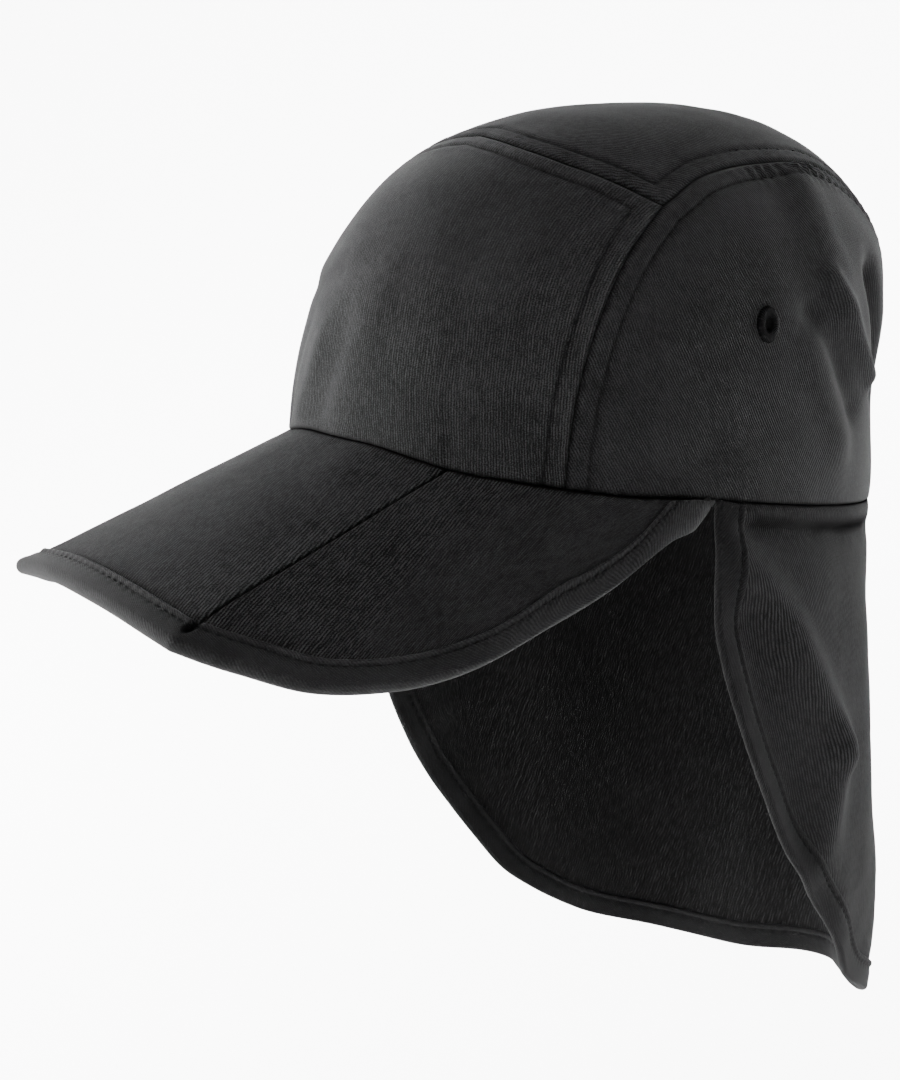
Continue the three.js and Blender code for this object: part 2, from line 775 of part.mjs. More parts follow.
// The top edge of the flap meets the rim square, so its normal is level there
function flapNormal(turn, drop) {
  const centre = flapMiddle(turn, drop)
  const across = flapMiddle(turn + flapProbe, drop).sub(centre)
  const down = flapMiddle(turn, drop + flapProbe).sub(centre)
  const normal = down.cross(across).normalize()
  normal.z *= THREE.MathUtils.smoothstep(drop, 0, flapSquareDrop)
  return normal.normalize()
}

// The cut shape of the flap as places of turn and drop
function flapOutline(side, place, across) {
  const turn = side > 0 ? place.turn : 360 - place.turn
  const change = THREE.MathUtils.smoothstep(across, 0, flapHemChangeShare)
  const fall = THREE.MathUtils.lerp(flapDropLeft, flapDrop, change)
  return new THREE.Vector3(turn, place.drop * fall, 0)
}

// Turn and drop are not lengths alike, so an inset along the rim is measured by the rim's own step
function insetPlace(place, ahead, inset) {
  const stretch = rimStep(place.x)
  const inward = new THREE.Vector3(ahead.y, -ahead.x * stretch, 0).normalize()
  return new THREE.Vector3(
    place.x + (inward.x * inset) / stretch,
    Math.max(place.y + inward.y * inset, 0),
    0,
  )
}

// The outline runs down the left edge, along the hem and up the right edge
const flapColumns = 34
const flapRows = 14
const flapStations = flapColumns + 2 * flapRows
const flapTopCrowding = 1.4
const flapEdgeCrowding = 0.06
const flapRowShare = row => (row / flapRows) ** flapTopCrowding

function flapColumnShare(column) {
  const share = column / flapColumns
  return share - flapEdgeCrowding * Math.sin(2 * Math.PI * share)
}

function flapHemPlace(across) {
  return across < 0.5
    ? flapOutline(1, flapHemAt(2 * across), across)
    : flapOutline(-1, flapHemAt(2 - 2 * across), across)
}

function flapOutlineAt(station) {
  if (station < flapRows) return flapOutline(1, flapEdgeAt(flapRowShare(station)), 0)
  if (station > flapStations - flapRows) {
    return flapOutline(-1, flapEdgeAt(flapRowShare(flapStations - station)), 1)
  }
  return flapHemPlace(flapColumnShare(station - flapRows))
}

// Where the binding's lip ends on the cloth
function flapLipAt(station) {
  const before = flapOutlineAt(Math.max(0, station - 0.5))
  const after = flapOutlineAt(Math.min(flapStations, station + 0.5))
  return insetPlace(flapOutlineAt(station), after.sub(before), bindingWidth)
}

function flapFacePoint(place, height) {
  return flapMiddle(place.x, place.y).addScaledVector(flapNormal(place.x, place.y), height)
}

// The cloth inside the lips is a grid blended from its four edges,
// and one ring of cells under the binding joins it to the outline
function flapGeometry() {
  const patch = (column, row) => {
    const across = flapColumnShare(column)
    const along = flapRowShare(row)
    const left = flapLipAt(row)
    const right = flapLipAt(flapStations - row)
    const hem = flapLipAt(flapRows + column)
    const topLeft = flapLipAt(0)
    const topRight = flapLipAt(flapStations)
    const top = topLeft.clone().lerp(topRight, across)
    const leftHem = flapLipAt(flapRows)
    const rightHem = flapLipAt(flapStations - flapRows)
    const corners = topLeft.lerp(topRight, across).lerp(leftHem.lerp(rightHem, across), along)
    return top.lerp(hem, along).add(left.lerp(right, across)).sub(corners)
  }
  const places = gridPoints(flapColumns, flapRows, patch)
  const cells = gridCells(flapColumns, flapRows)
  const inside = station => {
    if (station <= flapRows) return station * (flapColumns + 1)
    if (station >= flapStations - flapRows) return (flapStations - station) * (flapColumns + 1) + flapColumns
    return flapRows * (flapColumns + 1) + station - flapRows
  }
  const outlineStart = places.length
  for (let station = 0; station <= flapStations; station++) places.push(flapOutlineAt(station))
  for (let station = 0; station < flapStations; station++) {
    cells.push([inside(station), inside(station + 1), outlineStart + station + 1, outlineStart + station])
  }
  const face = height => places.map(place => flapFacePoint(place, height))
  return thickSheet(face(flapWall / 2), face(-flapWall / 2), cells)
}

function flapBindingGeometry() {
  const sections = []
  for (let station = 0; station <= flapStations; station++) {
    sections.push(bindingSection(
      height => flapFacePoint(flapOutlineAt(station), height),
      height => flapFacePoint(flapLipAt(station), height),
      flapWall / 2,
    ))
  }
  return bindingGeometry(sections)
}

// Assembly
function part(name, geometry, finish) {
  const mesh = new THREE.Mesh(geometry, new THREE.MeshStandardMaterial(finish))
  mesh.name = name
  return mesh
}

const headPart = new THREE.Group()
headPart.rotation.x = -wornTilt * degree
headPart.add(
  part('front_panel', frontPanelGeometry(), cloth),
  part('top_panel', topPanelGeometry(), cloth),
  part('side_panel_left', piercedSidePanel(1), cloth),
  part('side_panel_right', piercedSidePanel(-1), cloth),
  part('eyelet_left', eyeletGeometry(1), threadTone),
  part('eyelet_right', eyeletGeometry(-1), threadTone),
  part('peak_centre', peakPanelGeometry(-foldShare, foldShare, 2 * peakFrontSteps, 8), cloth),
  part('peak_side_left', peakPanelGeometry(foldShare, 1, peakSideSteps, 7), cloth),
  part('peak_side_right', peakPanelGeometry(-1, -foldShare, peakSideSteps, 7), cloth),
  part('peak_binding', peakBindingGeometry(), bindingTone),
)

const group = new THREE.Group()
group.add(
  headPart,
  part('neck_flap', flapGeometry(), cloth),
  part('flap_binding', flapBindingGeometry(), bindingTone),
)

export default group
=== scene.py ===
"""Looks of a soft cotton legionnaire cap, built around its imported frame.

The cap has a crown of four panels, a long peak that folds in three and a hanging neck flap.
Shapes are worked out in millimetres, in the frame's own axes: +Z up, the peak towards -Y and the
wearer's left towards +X. They become meshes in metres.
"""

import json
import logging
import math
from dataclasses import dataclass, field, replace
from enum import Enum
from typing import Callable, Sequence

import bpy
import numpy as np
from mathutils import Matrix

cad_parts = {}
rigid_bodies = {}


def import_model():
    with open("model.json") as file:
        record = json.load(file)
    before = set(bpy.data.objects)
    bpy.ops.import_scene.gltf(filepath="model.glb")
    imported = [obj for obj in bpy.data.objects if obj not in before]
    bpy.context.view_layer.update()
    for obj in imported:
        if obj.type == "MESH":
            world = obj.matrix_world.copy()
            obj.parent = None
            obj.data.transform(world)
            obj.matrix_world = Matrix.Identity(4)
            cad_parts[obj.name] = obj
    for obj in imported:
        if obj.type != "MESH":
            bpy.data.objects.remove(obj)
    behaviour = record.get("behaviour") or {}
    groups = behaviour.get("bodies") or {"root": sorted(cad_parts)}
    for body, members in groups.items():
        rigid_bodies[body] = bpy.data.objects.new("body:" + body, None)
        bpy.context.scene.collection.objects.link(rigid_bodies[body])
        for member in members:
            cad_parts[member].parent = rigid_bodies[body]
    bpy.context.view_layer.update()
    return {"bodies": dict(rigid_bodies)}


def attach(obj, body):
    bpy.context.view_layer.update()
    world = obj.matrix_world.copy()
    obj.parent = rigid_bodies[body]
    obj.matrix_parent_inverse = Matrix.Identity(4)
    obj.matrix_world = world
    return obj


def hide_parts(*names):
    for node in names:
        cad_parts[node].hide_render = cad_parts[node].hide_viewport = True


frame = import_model()

log = logging.getLogger("cap")

METRE = 0.001
ROOT = "root" if "root" in frame["bodies"] else next(iter(frame["bodies"]))
SEED = 20
UP = np.array([0.0, 0.0, 1.0])
Array = np.ndarray


class Side(Enum):
    """The wearer's two sides, as the sign of X."""

    LEFT = 1
    RIGHT = -1

    @property
    def word(self) -> str:
        """The side's name as the frame writes it."""
        return self.name.lower()


class Slot(Enum):
    """The frame's material slots."""

    CROWN = "crown_twill"
    PEAK = "peak_twill"
    FLAP = "flap_twill"
    BINDING = "binding"
    THREAD = "eyelet_thread"


# Numbers and curves


def smooth(value: Array, low: float, high: float) -> Array:
    """Rises smoothly from 0 at low to 1 at high."""
    share = np.clip((value - low) / (high - low), 0, 1)
    return share * share * (3 - 2 * share)


def bump(distance: Array, half_width: float) -> Array:
    """A swelling of height 1 that dies away over its half width."""
    return np.exp(-((distance / half_width) ** 2))


def unit(vectors: Array) -> Array:
    """The vectors at length 1."""
    return vectors / np.maximum(np.linalg.norm(vectors, axis=-1, keepdims=True), 1e-12)


def lengths_along(points: Array) -> Array:
    """Length from the first point to each point of a line."""
    steps = np.linalg.norm(np.diff(points, axis=0), axis=1)
    return np.concatenate([[0], np.cumsum(steps)])


def xyz(x: Array, y: Array, z: Array | float) -> Array:
    """Points from their three coordinates."""
    return np.stack(np.broadcast_arrays(x, y, z), -1)


def points_at(places: Array, along: Array, line: Array) -> Array:
    """Points of a line at some lengths along it.

    Args:
        places: The lengths.
        along: Length at each of the line's own points.
        line: The line's points.

    Returns:
        One point for each length.
    """
    return np.stack([np.interp(places, along, column) for column in line.T], -1)


def crowded(length: float, fine: float, coarse: float, band: float) -> Array:
    """Shares of a length whose steps are fine at both ends and coarse between.

    Args:
        length: The length in millimetres.
        fine: Step at the ends.
        coarse: Step in the middle.
        band: How far from an end the steps reach the coarse one.

    Returns:
        Rising shares from 0 to 1.
    """
    fine_places = np.linspace(0, length, 2000)
    nearest = np.minimum(fine_places, length - fine_places)
    density = 1 / (fine + (coarse - fine) * smooth(nearest, 0, band))
    steps = (density[1:] + density[:-1]) / 2 * np.diff(fine_places)
    total = np.concatenate([[0], np.cumsum(steps)])
    count = max(2, round(float(total[-1])))
    return np.interp(np.linspace(0, total[-1], count + 1), total, fine_places) / length


@dataclass(frozen=True)
class Curve:
    """A smooth curve through the rows of a table: first column the place, the rest values."""

    rows: Sequence[Sequence[float]]

    def __call__(self, place: Array) -> list[Array]:
        """The values at some places.

        Args:
            place: Places along the table.

        Returns:
            One array for each value column.
        """
        table = np.array(self.rows, float)
        knots, values = table[:, 0], table[:, 1:]
        secants = np.diff(values, axis=0) / np.diff(knots)[:, None]
        slopes = np.concatenate([secants[:1], (secants[:-1] + secants[1:]) / 2, secants[-1:]])
        place = np.asarray(place, float)
        left = np.clip(np.searchsorted(knots, place, side="right") - 1, 0, len(knots) - 2)
        gap = (knots[left + 1] - knots[left])[..., None]
        share = (place - knots[left])[..., None] / gap
        square, cube = share**2, share**3
        found = (
            (2 * cube - 3 * square + 1) * values[left]
            + (cube - 2 * square + share) * gap * slopes[left]
            + (3 * square - 2 * cube) * values[left + 1]
            + (cube - square) * gap * slopes[left + 1]
        )
        return [found[..., column] for column in range(found.shape[-1])]


@dataclass(frozen=True)
class Polyline:
    """A line of points that distances are measured to."""

    points: Array

    def nearest(self, places: Array) -> tuple[Array, Array]:
        """Distance to the line and how far along it the nearest point is.

        Args:
            places: Points, one in a row.

        Returns:
            Distances and lengths along the line.
        """
        starts, steps = self.points[:-1], np.diff(self.points, axis=0)
        along = lengths_along(self.points)
        size = np.maximum((steps**2).sum(1), 1e-12)
        best = np.full(len(places), np.inf)
        where = np.zeros(len(places))
        for start, step, square, before in zip(starts, steps, size, along):
            share = np.clip(((places - start) @ step) / square, 0, 1)
            gap = np.linalg.norm(places - start - share[:, None] * step, axis=1)
            closer = gap < best
            best = np.where(closer, gap, best)
            where = np.where(closer, before + share * math.sqrt(square), where)
        return best, where


@dataclass(frozen=True)
class Grain:
    """Smooth seeded noise over space, from -1 to 1, with sizes in millimetres."""

    seed: int
    size: tuple[float, float, float]
    lattice: int = 32

    def __call__(self, points: Array) -> Array:
        """The noise at some points.

        Args:
            points: Points or places with two or three coordinates.

        Returns:
            One value for each point.
        """
        values = np.random.default_rng(self.seed).uniform(-1, 1, (self.lattice,) * 3)
        width = points.shape[-1]
        scaled = points / np.array(self.size[:width])
        if width == 2:
            scaled = np.concatenate([scaled, np.zeros((*scaled.shape[:-1], 1))], -1)
        base = np.floor(scaled).astype(int)
        part = scaled - base
        part = part**3 * (part * (6 * part - 15) + 10)
        total = np.zeros(points.shape[:-1])
        for corner in np.ndindex(2, 2, 2):
            weight = np.prod(np.where(corner, part, 1 - part), axis=-1)
            index = (base + corner) % self.lattice
            total += weight * values[index[..., 0], index[..., 1], index[..., 2]]
        return total


# Meshes


@dataclass
class Sheet:
    """A closed sheet of cloth made of an outer and an inner face over the same cells.

    Attributes:
        name: The piece's name.
        outer: Points of the outer face in millimetres.
        inner: Matching points of the inner face.
        cells: Four corners of each cell, as indices of points.
        cloth: Place of each point on the flat cloth, in millimetres.
        worn: How much each point's colour is rubbed lighter, or darkened by painted shade below
            zero.
        inner_shade: How much painted shade darkens the inner face.
    """

    name: str
    outer: Array
    inner: Array
    cells: Array
    cloth: Array
    worn: Array
    inner_shade: float = 0.0

    @classmethod
    def of_grid(
        cls,
        name: str,
        faces: tuple[Array, Array],
        cloth: Array,
        worn: Array,
        inner_shade: float = 0.0,
        keep: Array | None = None,
    ) -> "Sheet":
        """Makes a sheet from points and values by row and column.

        Args:
            name: The piece's name.
            faces: Points of the outer and the inner face.
            cloth: Places on the flat cloth.
            worn: Rubbed shares, with painted shade below zero.
            inner_shade: How much painted shade darkens the inner face.
            keep: Which cells to keep, or all of them.

        Returns:
            The sheet.
        """
        outer, inner = (face.reshape(-1, 3) for face in faces)
        cells = cls.grid_cells(*cloth.shape[:2], keep)
        return cls(name, outer, inner, cells, cloth.reshape(-1, 2), worn.reshape(-1), inner_shade)

    @staticmethod
    def grid_cells(rows: int, columns: int, keep: Array | None = None) -> Array:
        """The cells of a grid of points listed row by row.

        Args:
            rows: Number of rows of points.
            columns: Number of columns of points.
            keep: Which cells to keep, by row and column, or all of them.

        Returns:
            The cells' corners.
        """
        index = np.arange(rows * columns).reshape(rows, columns)
        cells = np.stack([index[:-1, :-1], index[:-1, 1:], index[1:, 1:], index[1:, :-1]], -1)
        return cells.reshape(-1, 4) if keep is None else cells[keep].reshape(-1, 4)

    def walls(self) -> Array:
        """Cells that join the two faces along every open side."""
        count = len(self.outer)
        sides = np.concatenate([self.cells[:, [i, (i + 1) % 4]] for i in range(4)])
        keys = sides[:, 0] * count + sides[:, 1]
        twins = sides[:, 1] * count + sides[:, 0]
        free = sides[~np.isin(twins, keys)]
        return np.column_stack([free[:, 1], free[:, 0], free[:, 0] + count, free[:, 1] + count])

    def area(self) -> float:
        """The outer face's area in square metres."""
        a, b, c, d = (self.outer[self.cells[:, i]] for i in range(4))
        return float(np.linalg.norm(np.cross(c - a, d - b), axis=1).sum() / 2) * METRE**2

    def build(self, material: bpy.types.Material, slot: Slot) -> bpy.types.Object:
        """Makes the mesh object.

        Args:
            material: Its finish.
            slot: The frame's slot that the finish belongs to.

        Returns:
            The object, riding on the cap.
        """
        count = len(self.outer)
        back = self.cells[:, ::-1] + count
        faces = np.concatenate([self.cells, back, self.walls()])
        points = np.concatenate([self.outer, self.inner])
        a, b, c, d = (points[faces[:, i]] for i in range(4))
        volume = np.einsum("ij,ij->i", a, np.cross(b, c) + np.cross(c, d)).sum()
        if volume < 0:
            faces = faces[:, ::-1]
        piece = make_object(self.name, points, faces, material, slot)
        add_values(piece, "cloth", np.concatenate([self.cloth, self.cloth]))
        # The worn values hold rubbed cloth and painted shade; the inner face gets extra painted
        # shade
        add_values(piece, "worn", np.concatenate([self.worn, self.worn - self.inner_shade]))
        return piece


def ring_faces(rings: int, sides: int) -> Array:
    """Faces of a tube whose points are listed ring by ring."""
    index = np.arange(rings * sides).reshape(rings, sides)
    turned = np.roll(index, -1, axis=1)
    return np.stack([index[:-1], turned[:-1], turned[1:], index[1:]], -1).reshape(-1, 4)


def add_object(name: str, data: bpy.types.ID) -> bpy.types.Object:
    """Adds an object with its data to the scene."""
    made = bpy.data.objects.new(name, data)
    bpy.context.scene.collection.objects.link(made)
    return made


def make_object(
    name: str, points: Array, faces: Array, material: bpy.types.Material, slot: Slot
) -> bpy.types.Object:
    """Makes a smooth mesh object that rides on the cap.

    Args:
        name: The piece's name.
        points: Points in millimetres.
        faces: Corners of each four sided face.
        material: Its finish.
        slot: Not used.

    Returns:
        The object.
    """
    mesh = bpy.data.meshes.new(name)
    mesh.vertices.add(len(points))
    mesh.vertices.foreach_set("co", (points * METRE).astype(np.float32).ravel())
    mesh.loops.add(faces.size)
    mesh.loops.foreach_set("vertex_index", faces.ravel().astype(np.int32))
    mesh.polygons.add(len(faces))
    mesh.polygons.foreach_set("loop_start", np.arange(0, faces.size, 4, dtype=np.int32))
    mesh.polygons.foreach_set("use_smooth", np.ones(len(faces), bool))
    mesh.update(calc_edges=True)
    mesh.validate()
    mesh.materials.append(material)
    piece = add_object(name, mesh)
    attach(piece, ROOT)
    log.info("%s: %d faces", name, len(mesh.polygons))
    return piece


def add_values(piece: bpy.types.Object, name: str, values: Array) -> None:
    """Stores values on a mesh's points for its shader.

    Args:
        piece: The mesh object.
        name: The attribute's name.
        values: One number, or one place of two numbers, for each point.
    """
    if values.ndim == 1:
        layer = piece.data.attributes.new(name, "FLOAT", "POINT")
        layer.data.foreach_set("value", values.astype(np.float32))
        return
    padded = np.column_stack([values, np.zeros(len(values))])
    layer = piece.data.attributes.new(name, "FLOAT_VECTOR", "POINT")
    layer.data.foreach_set("vector", padded.astype(np.float32).ravel())


def cloth_places(points: Array, middle: int) -> Array:
    """Flat places of a grid of points, measured along its rows and columns.

    Args:
        points: Points by row and column.
        middle: The column that rows are measured from.

    Returns:
        Places of two numbers, by row and column.
    """
    across = np.linalg.norm(np.diff(points, axis=1), axis=2)
    across = np.concatenate([np.zeros((len(points), 1)), np.cumsum(across, axis=1)], axis=1)
    across -= across[:, middle : middle + 1]
    along = np.linalg.norm(np.diff(points, axis=0), axis=2)
    along = np.concatenate([np.zeros((1, points.shape[1])), np.cumsum(along, axis=0)], axis=0)
    return np.stack([across, along], -1)


# Shaders


class Value:
    """A shader's number, whose arithmetic adds Math nodes."""

    def __init__(self, graph: "Graph", socket: bpy.types.NodeSocket) -> None:
        """Wraps an output socket of a graph."""
        self.graph = graph
        self.socket = socket

    def math(self, operation: str, *others: "Value | float", first: float | None = None) -> "Value":
        """Adds a Math node.

        Args:
            operation: The node's operation.
            others: Its further inputs.
            first: A number that goes before this value, for a reflected operation.

        Returns:
            The node's result.
        """
        inputs = [self, *others] if first is None else [first, self]
        node = self.graph.node("ShaderNodeMath", {"operation": operation}, dict(enumerate(inputs)))
        return Value(self.graph, node.outputs[0])

    def __add__(self, other: "Value | float") -> "Value":
        """Sum."""
        return self.math("ADD", other)

    __radd__ = __add__

    def __mul__(self, other: "Value | float") -> "Value":
        """Product."""
        return self.math("MULTIPLY", other)

    __rmul__ = __mul__

    def __sub__(self, other: "Value | float") -> "Value":
        """Difference."""
        return self.math("SUBTRACT", other)

    def __rsub__(self, other: float) -> "Value":
        """Difference from a number."""
        return self.math("SUBTRACT", first=other)

    def __truediv__(self, other: "Value | float") -> "Value":
        """Quotient."""
        return self.math("DIVIDE", other)

    def wave(self) -> "Value":
        """A wave of the value, from 0 to 1 and back over each whole number."""
        return (self * math.tau).math("SINE") * 0.5 + 0.5

    def clamp(self) -> "Value":
        """The value held between 0 and 1."""
        return self.math("MAXIMUM", 0.0).math("MINIMUM", 1.0)


class Graph:
    """The node tree of one material."""

    def __init__(self, name: str) -> None:
        """Makes an empty material of that name."""
        self.material = bpy.data.materials.new(name)
        self.material.use_nodes = True
        self.tree = self.material.node_tree
        self.tree.nodes.clear()

    def node(
        self, kind: str, settings: dict | None = None, values: dict | None = None
    ) -> bpy.types.Node:
        """Adds a node.

        Args:
            kind: The node's type.
            settings: Its properties, which are set first.
            values: Numbers, colours or links for its sockets, by name or index.

        Returns:
            The node.
        """
        made = self.tree.nodes.new(kind)
        for name, setting in (settings or {}).items():
            setattr(made, name, setting)
        for name, value in (values or {}).items():
            socket = made.inputs[name]
            if isinstance(value, Value):
                self.tree.links.new(value.socket, socket)
            elif isinstance(value, bpy.types.NodeSocket):
                self.tree.links.new(value, socket)
            else:
                socket.default_value = value
        return made

    def attribute(self, name: str) -> bpy.types.Node:
        """Reads values stored on the mesh."""
        settings = {"attribute_type": "GEOMETRY", "attribute_name": name}
        return self.node("ShaderNodeAttribute", settings)

    def noise(self, vector: bpy.types.NodeSocket, scale: float, detail: float = 2.0) -> Value:
        """Noise over a vector.

        Args:
            vector: Where the noise is read.
            scale: Its repeats in a unit.
            detail: Its finer octaves.

        Returns:
            A value about 0.5.
        """
        values = {"Vector": vector, "Scale": scale, "Detail": detail, "Roughness": 0.55}
        made = self.node("ShaderNodeTexNoise", {"noise_dimensions": "2D"}, values)
        return Value(self, made.outputs[0])

    def mix(self, factor: Value, first: tuple, second: tuple) -> bpy.types.NodeSocket:
        """Mixes two colours.

        Args:
            factor: The second colour's share.
            first: A colour.
            second: Another colour.

        Returns:
            The mixed colour.
        """
        values = {0: factor, 6: (*first, 1.0), 7: (*second, 1.0)}
        return self.node("ShaderNodeMix", {"data_type": "RGBA"}, values).outputs[2]

    def surface(
        self,
        settings: dict,
        height: Value | None = None,
        distance: float = 0.0,
        painted_shade: Value | None = None,
    ) -> None:
        """Ends the graph in a Principled shader.

        Args:
            settings: Values for its sockets.
            height: Height of the fine relief, from 0 to 1.
            distance: Depth of that relief in metres.
            painted_shade: Share of painted shade, a matte near-black shader without any sheen that
                is mixed in at seams and creases.
        """
        shader = self.node("ShaderNodeBsdfPrincipled", None, settings)
        if height is not None:
            values = {"Height": height, "Distance": distance, "Strength": 1.0}
            relief = self.node("ShaderNodeBump", None, values)
            self.tree.links.new(relief.outputs["Normal"], shader.inputs["Normal"])
        if painted_shade is not None:
            # Painted shade: a matte near-black shader that hides the sheen in seams and creases
            deep = self.node("ShaderNodeBsdfDiffuse", None, {"Color": (*DEEP_AND_SHADE_DARK, 1.0)})
            values = {0: painted_shade, 1: shader.outputs[0], 2: deep.outputs[0]}
            shader = self.node("ShaderNodeMixShader", None, values)
        output = self.node("ShaderNodeOutputMaterial")
        self.tree.links.new(shader.outputs[0], output.inputs["Surface"])


# Colours of the cloth: the deepest, which is also the colour of the painted shade in seams and
# creases, then the raised cloth where it differs from the crown's front
DEEP_AND_SHADE_DARK = (0.0006, 0.0006, 0.0006)
# These differences are painted light and shade for how light falls on each piece: the side panels,
# the flap's tape and the flap are painted darker, the peak lighter, and the flap's deepest colour
# lighter because it sets the tone of the flap's painted-shaded inner face
SIDE_SHADED_RAISED = (0.0112, 0.0112, 0.0113)
PEAK_LIT_RAISED = (0.0165, 0.0165, 0.0166)
HEM_SHADED_RAISED = (0.0072, 0.0072, 0.0073)
FLAP_SHADED_RAISED = (0.0095, 0.0095, 0.0096)
FLAP_LIT_DEEP = (0.0017, 0.0017, 0.0017)


@dataclass(frozen=True)
class TwillFinish:
    """Washed black cotton twill, with its slanted ridges, soft nap, rubbed seams and painted shade
    in seams and creases.

    Attributes:
        name: The material's name.
        slant: Turn of the ridges from the cloth's upright, in degrees, positive towards its right.
        pitch: Distance between ridges in millimetres.
        dark: Colour of the deep cloth.
        light: Colour of the raised, rubbed cloth.
        ridge: How strongly the ridges show in the colour.
        cloud: How strongly the wash shows in the colour.
        depth: Depth of the ridges in millimetres.
        nap: How far the fuzz stands up beside the ridges.
        specular: Level of the plain gloss.
        sheen: Weight of the fibres' sheen.
        hollow_from: How much painted shade a place needs before the matte painted-shade shader
            starts to cover its gloss.
        grit: How strongly the fuzz shows in the colour.
    """

    name: str
    slant: float
    pitch: float = 0.8
    dark: tuple[float, float, float] = DEEP_AND_SHADE_DARK
    light: tuple[float, float, float] = (0.015, 0.015, 0.0151)
    ridge: float = 1.0
    cloud: float = 0.36
    depth: float = 0.15
    nap: float = 0.5
    specular: float = 0.03
    sheen: float = 0.02
    hollow_from: float = 0.3
    grit: float = 2.1

    def material(self) -> bpy.types.Material:
        """Makes the material."""
        graph = Graph(self.name)
        cloth = graph.attribute("cloth").outputs["Vector"]
        worn = Value(graph, graph.attribute("worn").outputs["Fac"])
        parts = graph.node("ShaderNodeSeparateXYZ", None, {0: cloth})
        across, along = (Value(graph, parts.outputs[i]) for i in (0, 1))
        turn = math.radians(self.slant)
        wobble = graph.noise(cloth, 0.07) * 1.2 + graph.noise(cloth, 0.9) * 0.22
        step = across * math.cos(turn) - along * math.sin(turn) + wobble
        run = across * math.sin(turn) + along * math.cos(turn)
        ridge = (step / self.pitch).wave()
        yarn = (run / (self.pitch * 0.62) + step / self.pitch * 0.5).wave()
        streak_place = graph.node("ShaderNodeCombineXYZ", None, {0: step * 1.1, 1: run * 0.32})
        streak = graph.noise(streak_place.outputs[0], 1.0, 3.0)
        fuzz = graph.noise(cloth, 2.3, 3.0)
        cloud = graph.noise(cloth, 0.06, 5.0)
        patch = graph.noise(cloth, 0.3, 4.0)
        fibre = ((streak - 0.5) * 3.0 + 0.5).clamp() * ridge
        tone = (
            0.3
            + (ridge - 0.5) * (self.ridge * 0.28)
            + (yarn - 0.5) * (self.ridge * 0.12)
            + (fibre - 0.25) * (self.ridge * 0.5)
            + (fuzz - 0.5) * self.grit
            + (cloud - 0.5) * self.cloud
            + (patch - 0.5) * (self.cloud * 0.8)
            # The worn value lightens rubbed cloth and, below zero, darkens it as painted shade
            + worn * 0.25
        ).clamp()
        height = (ridge * 0.5 + yarn * 0.12 + fuzz * self.nap + fibre * 0.3) / 1.4
        graph.surface(
            {
                "Base Color": graph.mix(tone, self.dark, self.light),
                "Roughness": 0.93,
                "Specular IOR Level": self.specular,
                "Sheen Weight": self.sheen,
                "Sheen Roughness": 0.5,
                "Sheen Tint": (0.85, 0.85, 0.86, 1.0),
            },
            height,
            self.depth * METRE,
            # Deep painted shade also mixes in the matte, sheenless painted-shade shader
            ((worn * -1.0 - self.hollow_from) * 0.45).clamp(),
        )
        return graph.material


@dataclass(frozen=True)
class ThreadFinish:
    """Black sewing thread with a low sheen."""

    name: str = "black_thread"
    dark: tuple[float, float, float] = (0.0003, 0.0003, 0.0003)
    light: tuple[float, float, float] = (0.0016, 0.0016, 0.0017)

    def material(self) -> bpy.types.Material:
        """Makes the material."""
        graph = Graph(self.name)
        place = graph.node("ShaderNodeTexCoord").outputs["Object"]
        fibre = graph.noise(place, 900.0, 2.0)
        graph.surface(
            {
                "Base Color": graph.mix(fibre.clamp(), self.dark, self.light),
                "Roughness": 0.6,
                "Specular IOR Level": 0.015,
            },
            fibre,
            0.05 * METRE,
        )
        return graph.material


@dataclass(frozen=True)
class PaperFinish:
    """The studio's plain white paper."""

    name: str = "studio_paper"
    colour: tuple[float, float, float] = (0.86, 0.86, 0.86)

    def material(self) -> bpy.types.Material:
        """Makes the material."""
        graph = Graph(self.name)
        graph.surface({"Base Color": (*self.colour, 1.0), "Roughness": 0.9})
        return graph.material


# Stitches


